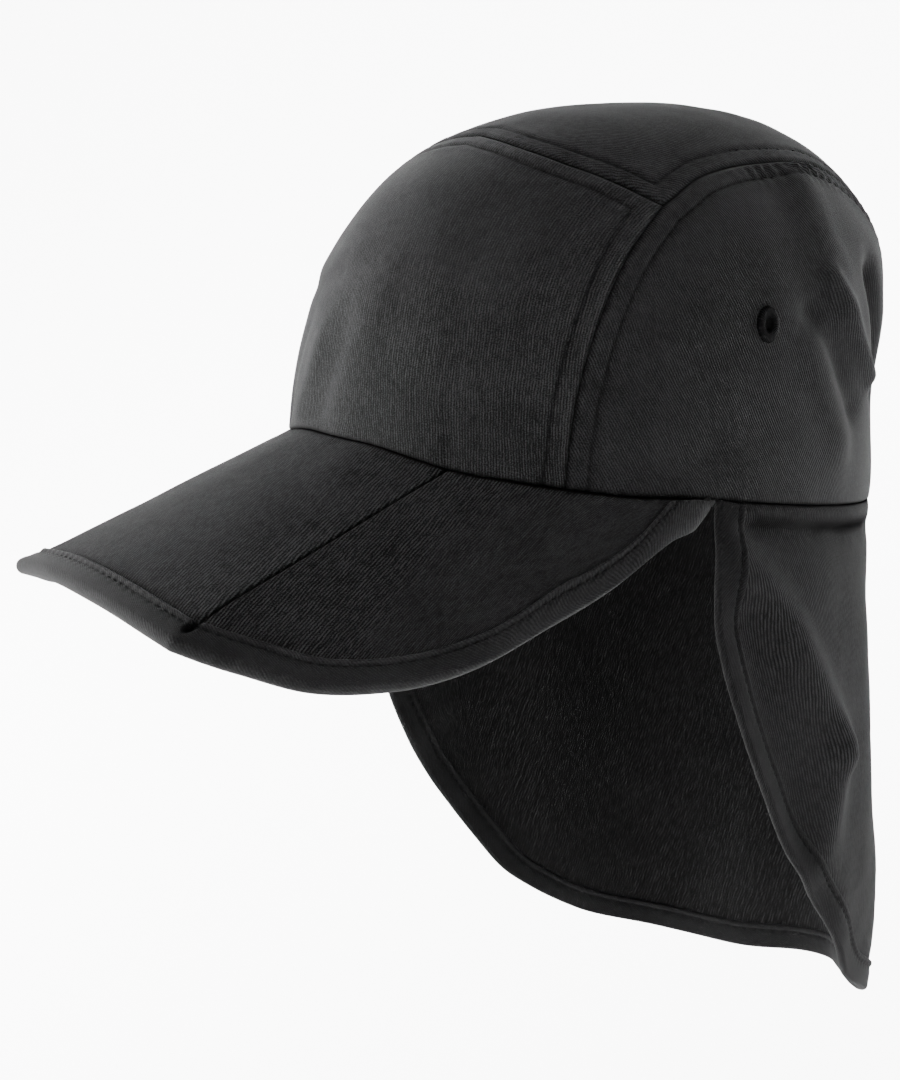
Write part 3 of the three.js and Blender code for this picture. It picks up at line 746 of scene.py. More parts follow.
@dataclass(frozen=True)
class Stitching:
    """Rows of short stitches that lie in the cloth.

    Attributes:
        pitch: Distance from one stitch to the next in millimetres.
        length: Length of a stitch.
        width: Width of the thread.
        sink: How deep the thread's middle lies below the cloth's face.
        blunt: Share of a pointed end that a stitch's ends reach.
        arch: How far its middle rises, as a share of its width.
        dip: How far its ends sink, as a share of its width.
    """

    pitch: float = 3.1
    length: float = 2.2
    width: float = 0.46
    sink: float = 0.06
    blunt: float = 0.985
    arch: float = 0.3
    dip: float = 0.25
    sides: int = 6
    rings: int = 5

    def stitch(self) -> tuple[Array, Array]:
        """One stitch along X with Z up: its points and faces."""
        along = np.linspace(-1, 1, self.rings)
        around = np.arange(self.sides) * math.tau / self.sides
        girth = np.sqrt(np.clip(1 - (along * self.blunt) ** 2, 0, 1)) ** 0.7
        arch = (1 - along**2) * self.width * self.arch - self.width * self.dip
        points = xyz(
            along[:, None] * self.length / 2,
            girth[:, None] * np.cos(around) * self.width / 2,
            girth[:, None] * np.sin(around) * self.width / 2 + arch[:, None],
        ).reshape(-1, 3)
        # The caps are made for six sides
        first = np.arange(self.sides)
        last = first + (self.rings - 1) * self.sides
        caps = [first[[3, 2, 1, 0]], first[[5, 4, 3, 0]], last[[0, 1, 2, 3]], last[[0, 3, 4, 5]]]
        return points, np.concatenate([ring_faces(self.rings, self.sides), caps])

    def build(
        self,
        name: str,
        lines: Sequence[tuple[Array, Array]],
        material: bpy.types.Material,
        slot: Slot,
    ) -> bpy.types.Object:
        """Sews along lines.

        Args:
            name: The piece's name.
            lines: For each line its points and its normals.
            material: The thread.
            slot: The frame's slot of the cloth or thread.

        Returns:
            The stitches as one object.
        """
        shape, shape_faces = self.stitch()
        points, faces = [], []
        count = 0
        for line, normals in lines:
            along = lengths_along(line)
            places = np.arange(self.pitch / 2, along[-1], self.pitch)
            shifts = (-self.length / 2, 0, self.length / 2)
            ends = [points_at(places + shift, along, line) for shift in shifts]
            lift = unit(points_at(places, along, normals))
            ahead = unit(ends[2] - ends[0])
            side = unit(np.cross(lift, ahead))
            lift = np.cross(ahead, side)
            middle = ends[1] - lift * self.sink
            axes = (ahead, side, lift)
            local = sum(shape[None, :, i, None] * axes[i][:, None] for i in range(3))
            points.append((middle[:, None] + local).reshape(-1, 3))
            offsets = count + np.arange(len(places)) * len(shape)
            faces.append((shape_faces[None] + offsets[:, None, None]).reshape(-1, 4))
            count += len(places) * len(shape)
        return make_object(name, np.concatenate(points), np.concatenate(faces), material, slot)


# Crown


@dataclass(frozen=True)
class CrownForm:
    """The crown's surface, as a function of directions from the middle of the rim.

    Attributes:
        rim_length: Inside length of the rim's outer edge in millimetres.
        rim_width: Its width.
        height: Height of the dome above the rim.
        set_back: How far the top lies behind the rim's middle.
        fullness: Power of the dome's rise.
        wall: Thickness of the cloth.
        tilt: How far the front of the rim is tipped up, in degrees.
    """

    rim_length: float = 206
    rim_width: float = 166
    height: float = 117.5
    set_back: float = 28
    fullness: float = 0.92
    wall: float = 1.8
    tilt: float = 10
    rim_arch: float = 2.6
    rim_dip: float = 1.2
    arch_reach: float = 26
    # Turns between which the arch ends, the dip starts and the dip ends again
    arch_end: tuple[float, float] = (8, 28)
    dip_start: tuple[float, float] = (20, 35)
    dip_end: tuple[float, float] = (58, 72)
    # Climb, then how far the front, sides and back stand out, as shares of a plain dome
    levels: Curve = Curve(
        ((0, 1, 1, 1), (15, 1.05, 0.995, 0.96), (30, 1.142, 1.052, 1.028), (45, 1.238, 1.112, 1.1))
        + ((60, 1.302, 1.132, 1.092), (75, 1.25, 1.12, 1.11), (90, 1.14, 1.14, 1.14))
    )

    def plain(self, turn: Array, climb: Array) -> Array:
        """Points of the plain dome.

        Args:
            turn: Degrees from the front towards the wearer's left.
            climb: Degrees above the rim.

        Returns:
            Points in the crown's own axes, with the rim level.
        """
        front, side, back = self.levels(climb)
        across, ahead = np.sin(np.radians(turn)), np.cos(np.radians(turn))
        spread, rise = np.cos(np.radians(climb)), np.sin(np.radians(climb))
        reach = np.where(ahead > 0, front, back)
        return xyz(
            self.rim_width / 2 * across * side * spread,
            -self.rim_length / 2 * ahead * reach * spread + self.set_back * rise**2,
            self.height * np.maximum(rise, 0) ** self.fullness,
        )

    def at(self, directions: Array) -> Array:
        """Points of the plain dome in some directions."""
        way = unit(directions)
        turn = np.degrees(np.arctan2(way[..., 0], -way[..., 1]))
        climb = np.degrees(np.arcsin(np.clip(way[..., 2], 0, 1)))
        return self.plain(turn, climb)

    def normal(self, directions: Array) -> Array:
        """Outward normals of the plain dome in some directions."""
        nudge = 0.02
        way = unit(directions)
        level = xyz(-way[..., 1], way[..., 0], 0.0)
        flat = np.linalg.norm(level, axis=-1, keepdims=True) < 1e-6
        level = unit(np.where(flat, np.array([1.0, 0, 0]), level))
        rise = np.cross(way, level)
        low = np.maximum(way[..., 2:], 0)
        lower = np.where(low > nudge, -nudge, 0)
        sideways = self.at(way + level * nudge) - self.at(way - level * nudge)
        upwards = self.at(way + rise * nudge) - self.at(way + rise * lower)
        return unit(np.cross(sideways, upwards))

    def rim_lift(self, points: Array) -> Array:
        """How far the rim arches up over the peak's middle and dips at its sides."""
        turn = np.degrees(
            np.arctan2(np.abs(points[..., 0]) / self.rim_width, -points[..., 1] / self.rim_length)
        )
        arch = self.rim_arch * (1 - smooth(turn, *self.arch_end))
        dip = self.rim_dip * smooth(turn, *self.dip_start) * (1 - smooth(turn, *self.dip_end))
        return arch - dip

    def arched(self, points: Array) -> Array:
        """Points of the crown lifted near the rim."""
        lifted = points.copy()
        lifted[..., 2] += self.rim_lift(points) * (1 - smooth(points[..., 2], 0, self.arch_reach))
        return lifted

    def worn(self, points: Array) -> Array:
        """Points of the level crown as they lie on the tipped cap."""
        tilt = math.radians(self.tilt)
        level, up = math.cos(tilt), math.sin(tilt)
        x, y, z = points[..., 0], points[..., 1], points[..., 2]
        return xyz(x, y * level + z * up, z * level - y * up)

    def rim(self, turn: Array, inset: float, z: float) -> Array:
        """Points round the rim.

        Args:
            turn: Degrees from the front.
            inset: How far inside the rim.
            z: Height above the rim.

        Returns:
            Points in the crown's own axes.
        """
        turn = np.radians(turn)
        across = (self.rim_width / 2 - inset) * np.sin(turn)
        return xyz(across, -(self.rim_length / 2 - inset) * np.cos(turn), float(z))


def directions(turn: Array, climb: Array) -> Array:
    """Directions from the middle of the rim, from degrees of turn and climb."""
    turn, climb = np.radians(turn), np.radians(climb)
    return xyz(np.sin(turn) * np.cos(climb), -np.cos(turn) * np.cos(climb), np.sin(climb))


Way = Callable[[Array], Array]


def coons(bottom: Way, top: Way, left: Way, right: Way) -> Callable[[Array, Array], Array]:
    """A four sided patch blended from its four edges.

    Args:
        bottom: Edge from left to right.
        top: The same at the top.
        left: Edge from bottom to top.
        right: The same on the right.

    Returns:
        A function of shares across and along the patch.
    """
    ends = [edge(np.array([0.0, 1.0])) for edge in (bottom, top)]

    def place(across: Array, along: Array) -> Array:
        """The patch at some shares."""
        u, v = across[..., None], along[..., None]
        level = bottom(across) * (1 - v) + top(across) * v
        upright = left(along) * (1 - u) + right(along) * u
        low = (1 - u) * (1 - v) * ends[0][0] + u * (1 - v) * ends[0][1]
        corners = low + (1 - u) * v * ends[1][0] + u * v * ends[1][1]
        return level + upright - corners

    return place


@dataclass
class Crown:
    """Four panels, their seams and stitches.

    Attributes:
        form: The dome.
        finish: Materials of the panels by node.
        thread: Material of the stitches.
        seam_foot: Turn at which a side seam meets the rim, in degrees.
        back_foot: Turn at which a top seam meets the rim at the back.
        seam_turn_share: Share of the top seam where the side panel's patch has its corner.
        stitch_gap: Distance from a seam to its stitches in millimetres.
        groove: Depth of the seam.
        allowance: Height of the folded cloth beside the seam.
        channel: Depth of the line of stitches.
        pucker_pitch: Distance between puckers along a seam.
        gather_pitch: Distance between the gathers under the top seam.
        gather_depth: Their height.
        gather_reach: How far they run down from the seam.
        rim_round: How far the rim's edge is rounded in.
        rim_hang: How far the cloth hangs below the rim.
        corrections: Rounds in which a point's direction is found.
        correction_reach: Millimetres of error that move a direction by its own length.
    """

    form: CrownForm
    finish: dict[str, bpy.types.Material]
    thread: bpy.types.Material
    seam_foot: float = 49
    back_foot: float = 153
    seam_turn_share: float = 0.74
    stitch_gap: float = 6.4
    groove: float = 0.62
    allowance: float = 0.3
    channel: float = 0.3
    pucker_pitch: float = 5.6
    gather_pitch: float = 4.6
    gather_depth: float = 0.85
    gather_reach: float = 10.0
    # Shares of the top seam between which the gathers start and end
    gather_start: tuple[float, float] = (0.12, 0.22)
    gather_end: tuple[float, float] = (0.42, 0.66)
    rim_round: float = 1.0
    rim_hang: float = 0.5
    # Heights of the broad and small waves of worn cloth, of the puckers and beyond the stitches
    swell: float = 0.5
    ripple: float = 0.15
    pucker: float = 0.13
    shoulder: float = 0.16
    # How much painted shade darkens the seams, the lines of stitches and the rim
    seam_shade: float = 1.5
    stitch_shade: float = 1.0
    rim_shade: float = 2.2
    # Cell sizes at the seams and between them, and how far in the large ones start
    cells: tuple[float, float, float] = (0.42, 1.25, 13.0)
    corrections: int = 40
    correction_reach: float = 150
    front_side: Curve = Curve(
        ((0, 49, 0), (0.25, 49.5, 10), (0.5, 51, 21), (0.75, 53, 32), (1, 56.5, 42))
    )
    front_top: Curve = Curve(((0, 0, 53), (0.35, 19, 50.5), (0.7, 40, 46.5), (1, 56.5, 42)))
    top_side: Curve = Curve(
        ((0, 56.5, 42), (0.15, 64.5, 51), (0.3, 81, 57), (0.45, 105, 59))
        + ((0.6, 127, 52.5), (0.74, 141, 37), (0.87, 149, 18), (1, 153, 0))
    )
    # Dents and folds on both sides: turns, climbs, half width and height in millimetres
    strokes: tuple = (
        ((96, 101, 106.5, 112, 119), (33, 29, 25.5, 22, 18), 4.2, 2.8),
        ((92, 98, 105, 112), (26.5, 23, 18.5, 13), 5, -2.2),
        ((117, 121, 126, 129), (35, 30, 24, 17), 6.5, -4.2),
        ((95, 101, 107), (22, 14.5, 8), 7.5, 1.7),
        ((91, 95, 103), (52, 40, 30), 8, 1.7),
        ((82, 86, 90), (48, 38, 30), 9, -0.7),
        ((28.5, 27.5), (0, 4), 1.8, -0.7),
        ((60, 75), (20, 34), 14, -0.7),
        ((18, 30), (22, 36), 15, -0.7),
    )
    # The same for single wrinkles at the front, with turns to the wearer's right below zero
    wrinkles: tuple = (
        ((-32, -22, -10), (20, 20.5, 23), 3.5, -0.45),
        ((-30, -20, -8), (23, 24, 27), 5, 0.45),
        ((-16, -12, -10), (1, 7, 13), 5, 0.8),
        ((-6, -3, -2), (2, 9, 16), 5.5, -0.7),
        ((-26, -24, -22), (1, 8, 15), 5, -0.7),
        ((4, 6, 5), (3, 12, 22), 8, 0.6),
        ((70, 84), (4, 9), 7, -0.6),
        ((52, 70), (12, 10), 8, 0.5),
    )
    # Painted shade in the hollows of deep folds: turns, climbs, half width and how much darker
    hollows: tuple = (
        ((119, 123, 128, 131), (34, 30, 24, 17), 7.5, 0.9),
        ((94, 101, 108), (25, 21, 17), 4.5, 0.5),
    )
    seams: dict[str, Polyline] = field(default_factory=dict)

    def __post_init__(self) -> None:
        """Lays the seams out on the plain dome."""
        share = np.linspace(0, 1, 90)
        for side in Side:
            for name, curve in (("front_side", self.front_side), ("top_side", self.top_side)):
                turn, climb = curve(share)
                points = self.form.plain(side.value * turn, climb)
                self.seams[f"{name}_{side.word}"] = Polyline(points)
        both = np.linspace(-1, 1, 120)
        turn, climb = self.front_top(np.abs(both))
        self.seams["front_top"] = Polyline(self.form.plain(np.sign(both) * turn, climb))

    def seam_distance(self, points: Array) -> tuple[Array, Array]:
        """Distance to the nearest seam and the length along it."""
        best = np.full(len(points), np.inf)
        where = np.zeros(len(points))
        for seam in self.seams.values():
            gap, along = seam.nearest(points)
            where = np.where(gap < best, along, where)
            best = np.minimum(best, gap)
        return best, where

    def near_fold(
        self, places: Array, turns: Sequence[float], climbs: Sequence[float], half_width: float
    ) -> Array:
        """How near places are to a fold.

        Args:
            places: Points of the plain dome.
            turns: Turns along the fold in degrees.
            climbs: Climbs at those turns.
            half_width: The fold's half width in millimetres.

        Returns:
            Shares of 1 on the fold's line that die away over its half width.
        """
        line = Polyline(self.form.plain(np.array(turns), np.array(climbs)))
        return bump(line.nearest(places)[0], half_width)

    def relief(self, points: Array, gathered: bool) -> tuple[Array, Array]:
        """Height of the cloth over the plain dome.

        Args:
            points: Points of the plain dome.
            gathered: Whether the cloth is gathered under the top seam.

        Returns:
            Heights in millimetres and the rubbed share, with painted shade below zero.
        """
        height = np.zeros(len(points))
        mirrored = points * 1.0
        mirrored[:, 0] = np.abs(mirrored[:, 0])
        for places, folds in ((mirrored, self.strokes), (points, self.wrinkles)):
            for *fold, rise in folds:
                height += rise * self.near_fold(places, *fold)
        gap, along = self.seam_distance(points)
        jitter = Grain(SEED, (9, 9, 9))(points)
        beyond = gap - self.stitch_gap
        band = smooth(gap, 0.7, 2.0) * (1 - smooth(gap, self.stitch_gap - 1.4, self.stitch_gap))
        height += self.allowance * band - self.groove * bump(gap, 0.75)
        height -= self.channel * bump(beyond, 0.85)
        height += self.shoulder * bump(beyond - 2.3, 1.5)
        wave = np.sin(math.tau * along / self.pucker_pitch + 2.2 * jitter)
        wave *= bump(beyond + 1.5, 3.4)
        height += self.pucker * (0.5 + 0.5 * jitter) * wave
        if gathered:
            height += self.gathers(points, mirrored)
        height += self.swell * Grain(SEED + 1, (26, 26, 32))(points)
        height += self.ripple * Grain(SEED + 2, (9, 10, 14))(points)
        fade = 0.25 + 0.75 * smooth(points[:, 2], 0, 5)
        edge = self.rim_round * (1 - np.sqrt(1 - (1 - np.clip(points[:, 2] / 1.2, 0, 1)) ** 2))
        worn = 0.5 * bump(gap - 1.5, 1.0) * band
        # Painted shade: darker in the seams' grooves, along the lines of stitches, at the rim's
        # joint and in the hollows of deep folds
        worn -= self.seam_shade * bump(gap, 0.55) + self.stitch_shade * bump(beyond, 0.6)
        worn -= self.rim_shade * bump(points[:, 2], 0.8)
        for *painted_shade, dark in self.hollows:
            worn -= dark * self.near_fold(mirrored, *painted_shade)
        return height * fade - edge, worn

    def gathers(self, points: Array, mirrored: Array) -> Array:
        """Small upright folds of a side panel under the top seam."""
        gap, along = self.seams["top_side_left"].nearest(mirrored)
        total = lengths_along(self.seams["top_side_left"].points)[-1]
        share = along / total
        spread = smooth(share, *self.gather_start) * (1 - smooth(share, *self.gather_end))
        jitter = Grain(SEED + 3, (7, 7, 7))(points)
        wave = np.cos(math.tau * along / self.gather_pitch + 1.8 * jitter)
        fold = np.where(wave > 0, np.abs(wave) ** 0.7, -(np.abs(wave) ** 1.3))
        reach = smooth(gap, 0.5, 2.2) * bump(gap - 2.6, self.gather_reach * 0.5)
        return self.gather_depth * (0.7 + 0.6 * jitter) * fold * spread * reach

    def patches(self) -> dict[str, tuple[Callable[[Array, Array], Array], float, float, bool]]:
        """Each panel's patch of directions, its two spans and whether it is gathered."""
        form = self.form

        def mirrored_top(across: Array) -> Array:
            """The front seam from the wearer's right to the left."""
            both = 2 * across - 1
            turn, climb = self.front_top(np.abs(both))
            return directions(np.sign(both) * turn, climb)

        def seam(curve: Curve, side: int, start: float, end: float) -> Way:
            """A seam between two of its shares, on one side."""

            def way(share: Array) -> Array:
                """The seam at some shares."""
                turn, climb = curve(start + (end - start) * share)
                return directions(side * turn, climb)

            return way

        def rim(start: float, end: float) -> Way:
            """The rim from one turn to another."""
            return lambda share: directions(start + (end - start) * share, 0 * share)

        found = {
            "front_panel": (
                coons(
                    rim(-self.seam_foot, self.seam_foot),
                    mirrored_top,
                    seam(self.front_side, -1, 0, 1),
                    seam(self.front_side, 1, 0, 1),
                ),
                form.rim_width * 0.7,
                form.height * 0.85,
                False,
            ),
            "top_panel": (
                coons(
                    rim(360 - self.back_foot, self.back_foot),
                    mirrored_top,
                    seam(self.top_side, -1, 1, 0),
                    seam(self.top_side, 1, 1, 0),
                ),
                form.rim_width * 0.55,
                form.rim_length,
                False,
            ),
        }
        for side in Side:
            sign = side.value
            patch = coons(
                rim(sign * self.seam_foot, sign * self.back_foot),
                seam(self.top_side, sign, 0, self.seam_turn_share),
                seam(self.front_side, sign, 0, 1),
                seam(self.top_side, sign, 1, self.seam_turn_share),
            )
            found[f"side_panel_{side.word}"] = (patch, form.rim_length * 0.66, form.height, True)
        return found

    def surface(self, ways: Array, gathered: bool) -> tuple[Array, Array, Array, Array]:
        """Outer and inner points, normals and rubbed shares in some directions."""
        base = self.form.at(ways)
        normal = self.form.normal(ways)
        height, worn = self.relief(base, gathered)
        outer = base + normal * height[:, None]
        inner = base + normal * (height * 0.6 - self.form.wall)[:, None]
        inner[:, 2] = np.maximum(inner[:, 2], 0)
        hang = self.rim_hang * (1 - smooth(base[:, 2], 0, 3))
        for face in (outer, inner):
            face[:, 2] -= hang
        return self.form.arched(outer), self.form.arched(inner), normal, worn

    def build(self, eyelets: "Eyelets") -> None:
        """Makes the panels with their eyelet holes, and the stitches.

        Args:
            eyelets: The eyelets, whose holes the side panels get.
        """
        for name, (patch, width, length, gathered) in self.patches().items():
            u, v = np.meshgrid(crowded(width, *self.cells), crowded(length, *self.cells))
            rows, columns = u.shape
            ways = patch(u, v).reshape(-1, 3)
            outer, inner, _, worn = self.surface(ways, gathered)
            grid = outer.reshape(rows, columns, 3)
            cloth = cloth_places(self.form.at(ways).reshape(rows, columns, 3), columns // 2)
            keep = ~eyelets.inside((grid[:-1, :-1] + grid[1:, 1:]) / 2)
            faces = self.form.worn(outer), self.form.worn(inner)
            sheet = Sheet.of_grid(name + "_cloth", faces, cloth, worn, keep=keep)
            piece = sheet.build(self.finish[name], Slot.CROWN)
            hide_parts(name)
        self.sew()

    def sew(self) -> None:
        """Sews a line of stitches on each side of every seam."""
        lines = []
        for name, seam in self.seams.items():
            along = lengths_along(seam.points)
            points = points_at(np.linspace(0, along[-1], 260), along, seam.points)
            ways = self.ways_of(points)
            normal = self.form.normal(ways)
            side = unit(np.cross(unit(np.gradient(points, axis=0)), normal))
            for sign in (-1, 1):
                offset = self.ways_of(points + sign * self.stitch_gap * side)
                gap, _ = self.seam_distance(self.form.at(offset))
                clear = (gap > self.stitch_gap - 0.25) & (self.form.at(offset)[:, 2] > 1.5)
                if clear.sum() < 10:
                    continue
                outer, _, normals, _ = self.surface(offset[clear], "top_side" in name)
                lines.append((self.form.worn(outer), self.form.worn(normals)))
        Stitching().build("crown_stitches", lines, self.thread, Slot.THREAD)

    def ways_of(self, points: Array) -> Array:
        """Directions whose points of the dome are nearest to some points, by a few corrections."""
        form = self.form
        ways = unit(points / np.array([form.rim_width, form.rim_length, 2 * form.height]))
        for _ in range(self.corrections):
            ways = unit(ways + (points - form.at(ways)) / self.correction_reach)
        return ways


@dataclass
class Eyelets:
    """Two sewn air eyelets through the side panels.

    Attributes:
        form: The dome that they sit in.
        material: The thread.
        turn: Degrees from the front to each side.
        climb: Degrees above the rim.
        width: Width of the sewn oval in millimetres.
        height: Its height.
        hole: Width of its hole.
        rise: How far the thread stands up.
        threads: Number of stitches round it.
        steps_each: Steps of the mesh round each stitch.
    """

    form: CrownForm
    material: bpy.types.Material
    turn: float = 82
    climb: float = 24
    width: float = 8.4
    height: float = 10.8
    hole: float = 3.0
    rise: float = 1.0
    # Height of the cloth's face, how far the thread sinks in it, and its gap and rise at the back
    face: float = 0.65
    foot: float = 0.45
    gap: float = 0.1
    back_rise: float = 0.5
    threads: int = 38
    steps_each: int = 6

    def seat(self, side: Side) -> tuple[Array, Array]:
        """The middle of an eyelet on the dome, and its level, upright and outward axes."""
        way = directions(np.array([side.value * self.turn]), np.array([self.climb]))
        normal = self.form.normal(way)[0]
        level = unit(np.cross(UP, normal))
        return self.form.at(way)[0], np.stack([level, np.cross(normal, level), normal])

    def inside(self, points: Array) -> Array:
        """Whether points lie where an eyelet passes through the cloth."""
        found = np.zeros(points.shape[:-1], bool)
        radius = self.hole / 2 + 1.2
        for side in Side:
            middle, axes = self.seat(side)
            local = (points - middle) @ axes.T
            oval = np.hypot(local[..., 0], local[..., 1] * self.width / self.height)
            found |= (oval < radius) & (np.abs(local[..., 2]) < 8)
        return found

    def profile(self) -> Array:
        """Radius and height round the eyelet's section, as a closed loop of points."""
        half, hole = self.width / 2, self.hole / 2
        turns = np.linspace(0, math.pi, 11)
        middle, reach = (half + hole) / 2, (half - hole) / 2
        swell = np.sin(turns)
        upper = self.face - self.foot + self.rise * swell**0.7
        top = np.column_stack([middle + reach * np.cos(turns), upper])
        under = -self.form.wall - self.gap - self.back_rise * swell
        lower = np.column_stack([middle - reach * np.cos(turns), under])
        return np.concatenate([top, lower])

    def build(self) -> None:
        """Makes both eyelets."""
        profile = self.profile()
        steps = self.threads * self.steps_each
        around = np.arange(steps) * math.tau / steps
        for side in Side:
            middle, axes = self.seat(side)
            middle = middle - axes[2] * 0.1
            thread = np.abs(np.sin(around * self.threads / 2))
            jitter = np.random.default_rng(SEED + 5).uniform(-1, 1, self.threads)
            jitter = np.repeat(jitter, self.steps_each)
            centre = (self.width / 2 + self.hole / 2) / 2
            swell = 1 + 0.11 * (thread[:, None] - 0.6) + 0.03 * jitter[:, None]
            radius = centre + (profile[:, 0] - centre) * swell
            depth = profile[:, 1] + 0.1 * (thread[:, None] - 0.5) * np.sign(profile[:, 1] + 0.9)
            upright = radius * np.sin(around)[:, None] * self.height / self.width
            local = xyz(radius * np.cos(around)[:, None], upright, depth)
            points = self.form.worn(middle + local.reshape(-1, 3) @ axes)
            index = np.arange(steps * len(profile)).reshape(steps, len(profile))
            turned, ahead = np.roll(index, -1, axis=1), np.roll(index, -1, axis=0)
            both = np.roll(turned, -1, axis=0)
            faces = np.stack([index, ahead, both, turned], -1).reshape(-1, 4)
            name = f"eyelet_{side.word}"
            piece = make_object(name + "_thread", points, faces, self.material, Slot.THREAD)
            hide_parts(name)


# Bindings


@dataclass(frozen=True)
class Binding:
    """Tape folded round an edge of cloth and sewn down.

    Attributes:
        width: Width of the lip on each face in millimetres.
        cloth: Thickness of the tape.
        swell: How much thicker the tape is at the cloth's edge.
        stitch_inset: Distance from the cloth's edge to the stitches.
        pucker_pitch: Distance between puckers along the tape.
        pucker: Their height.
        nose_steps: Steps round the cloth's edge.
    """

    width: float = 8.5
    cloth: float = 0.85
    swell: float = 0.15
    stitch_inset: float = 6.1
    pucker_pitch: float = 3.4
    pucker: float = 0.1
    nose_steps: int = 11
    # Ridge along the fold, stitched channel, crown between, rise off the cloth and slow waves
    ridge: float = 0.26
    channel: float = 0.32
    crown: float = 0.14
    lift: float = 0.12
    wave: float = 0.16
    # Gaps inside the tape, on the cloth's faces and at its edge, and how much painted shade darkens
    # a pinch
    slack: float = 0.02
    nose_slack: float = 0.1
    pinch_shade: float = 2.5

    def heights(self, inset: Array) -> Array:
        """Height of the tape's face over the cloth's face, by distance from the edge."""
        fold = self.width - inset
        rise = self.cloth * np.sqrt(np.clip(1 - (1 - np.clip(fold / 0.55, 0, 1)) ** 2, 0, 1))
        ridge = self.ridge * bump(fold - 1.1, 0.9)
        channel = self.channel * bump(inset - self.stitch_inset, 0.75)
        crown = self.crown * bump(inset - 3.6, 1.8)
        nose = self.swell * (1 - smooth(inset, 0, 5))
        return self.lift + rise + ridge - channel + crown + nose

    def insets(self) -> Array:
        """Distances from the cloth's edge where the lips are drawn, crowded at the fold."""
        fold = np.array([0, 0.12, 0.3, 0.5, 0.8, 1.1, 1.5, 1.9, 2.2, 2.4, 2.6, 2.9, 3.4])
        return np.concatenate([self.width - fold, np.linspace(self.width - 4.2, 0, 6)])

    def sheet(
        self,
        name: str,
        lips: Callable[[Array], tuple[Array, Array]],
        half: float,
        along: Array,
        pinches: Sequence[float] = (),
    ) -> tuple[Sheet, list[tuple[Array, Array]]]:
        """The tape along an edge.

        Args:
            name: The piece's name.
            lips: Gives points and normals of the cloth's middle, by station and inset.
            half: Half the thickness of the cloth inside.
            along: Length along the edge at each station.
            pinches: Lengths along the edge where the tape is pinched into a crease.

        Returns:
            The tape and the two lines that its stitches follow.
        """
        insets = self.insets()
        points, normals = lips(insets)
        outward = unit(points[:, -1] - points[:, -3])
        wave = np.cos(math.tau * along / self.pucker_pitch)
        slow = Grain(SEED + 7, (17, 17, 17))(points[:, -1])
        pucker = self.pucker * wave[:, None] * bump(insets - self.stitch_inset, 1.9)
        pucker = pucker + self.wave * slow[:, None] * smooth(self.width - insets, 0, 3)
        pinch = sum((bump(along - place, 1.0) for place in pinches), 0 * along)
        pinch = pinch[:, None] * smooth(insets, 1.5, 4)
        height = half + (self.heights(insets) + pucker) * (1 - np.minimum(pinch, 1))
        under = half + self.slack
        nose_turn = np.radians(np.linspace(90, -90, self.nose_steps + 2)[1:-1])
        reach = height[:, -1:]
        edge, lift = points[:, -1:], normals[:, -1:]
        nose_way = outward[:, None] * np.cos(nose_turn)[:, None] + lift * np.sin(nose_turn)[:, None]
        outer = np.concatenate(
            [
                points + normals * height[..., None],
                edge + nose_way * reach[..., None],
                (points - normals * height[..., None])[:, ::-1],
            ],
            axis=1,
        )
        inner = np.concatenate(
            [
                points + normals * under,
                edge + nose_way * (under + self.nose_slack),
                (points - normals * under)[:, ::-1],
            ],
            axis=1,
        )
        rows, columns = outer.shape[:2]
        widths = np.linalg.norm(np.diff(outer, axis=1), axis=2).mean(0)
        girth = np.cumsum(np.concatenate([[0], widths]))
        cloth = np.stack(np.broadcast_arrays(along[:, None], girth[None]), -1)
        fold = np.concatenate([insets, np.zeros(self.nose_steps), insets[::-1]])
        # Lighter where the fold is rubbed; painted shade in the stitched channel and in pinched
        # creases
        worn = 0.4 * bump(self.width - fold - 0.9, 0.9) - 0.5 * bump(fold - self.stitch_inset, 0.6)
        worn = worn + 0.15 * (fold < 0.5) + 0.2 * Grain(SEED + 8, (11, 11, 11))(outer)
        unpinched = np.zeros((rows, self.nose_steps))
        worn = worn - self.pinch_shade * np.concatenate([pinch, unpinched, pinch[:, ::-1]], axis=1)
        sheet = Sheet.of_grid(name, (outer, inner), cloth, worn)
        nearest = int(np.argmin(np.abs(insets - self.stitch_inset)))
        lines = [
            (outer[:, nearest], normals[:, nearest]),
            (outer[:, columns - 1 - nearest], -normals[:, nearest]),
        ]
        return sheet, lines


@dataclass
class BoundPiece:
    """A piece of cloth with a bound edge, sewn under the crown's rim.

    Attributes:
        form: The crown's form.
        finish: Material of the cloth.
        binding_finish: Material of the tape.
        thread: Material of the stitches.
    """

    form: CrownForm
    finish: bpy.types.Material
    binding_finish: bpy.types.Material
    thread: bpy.types.Material


# Peak


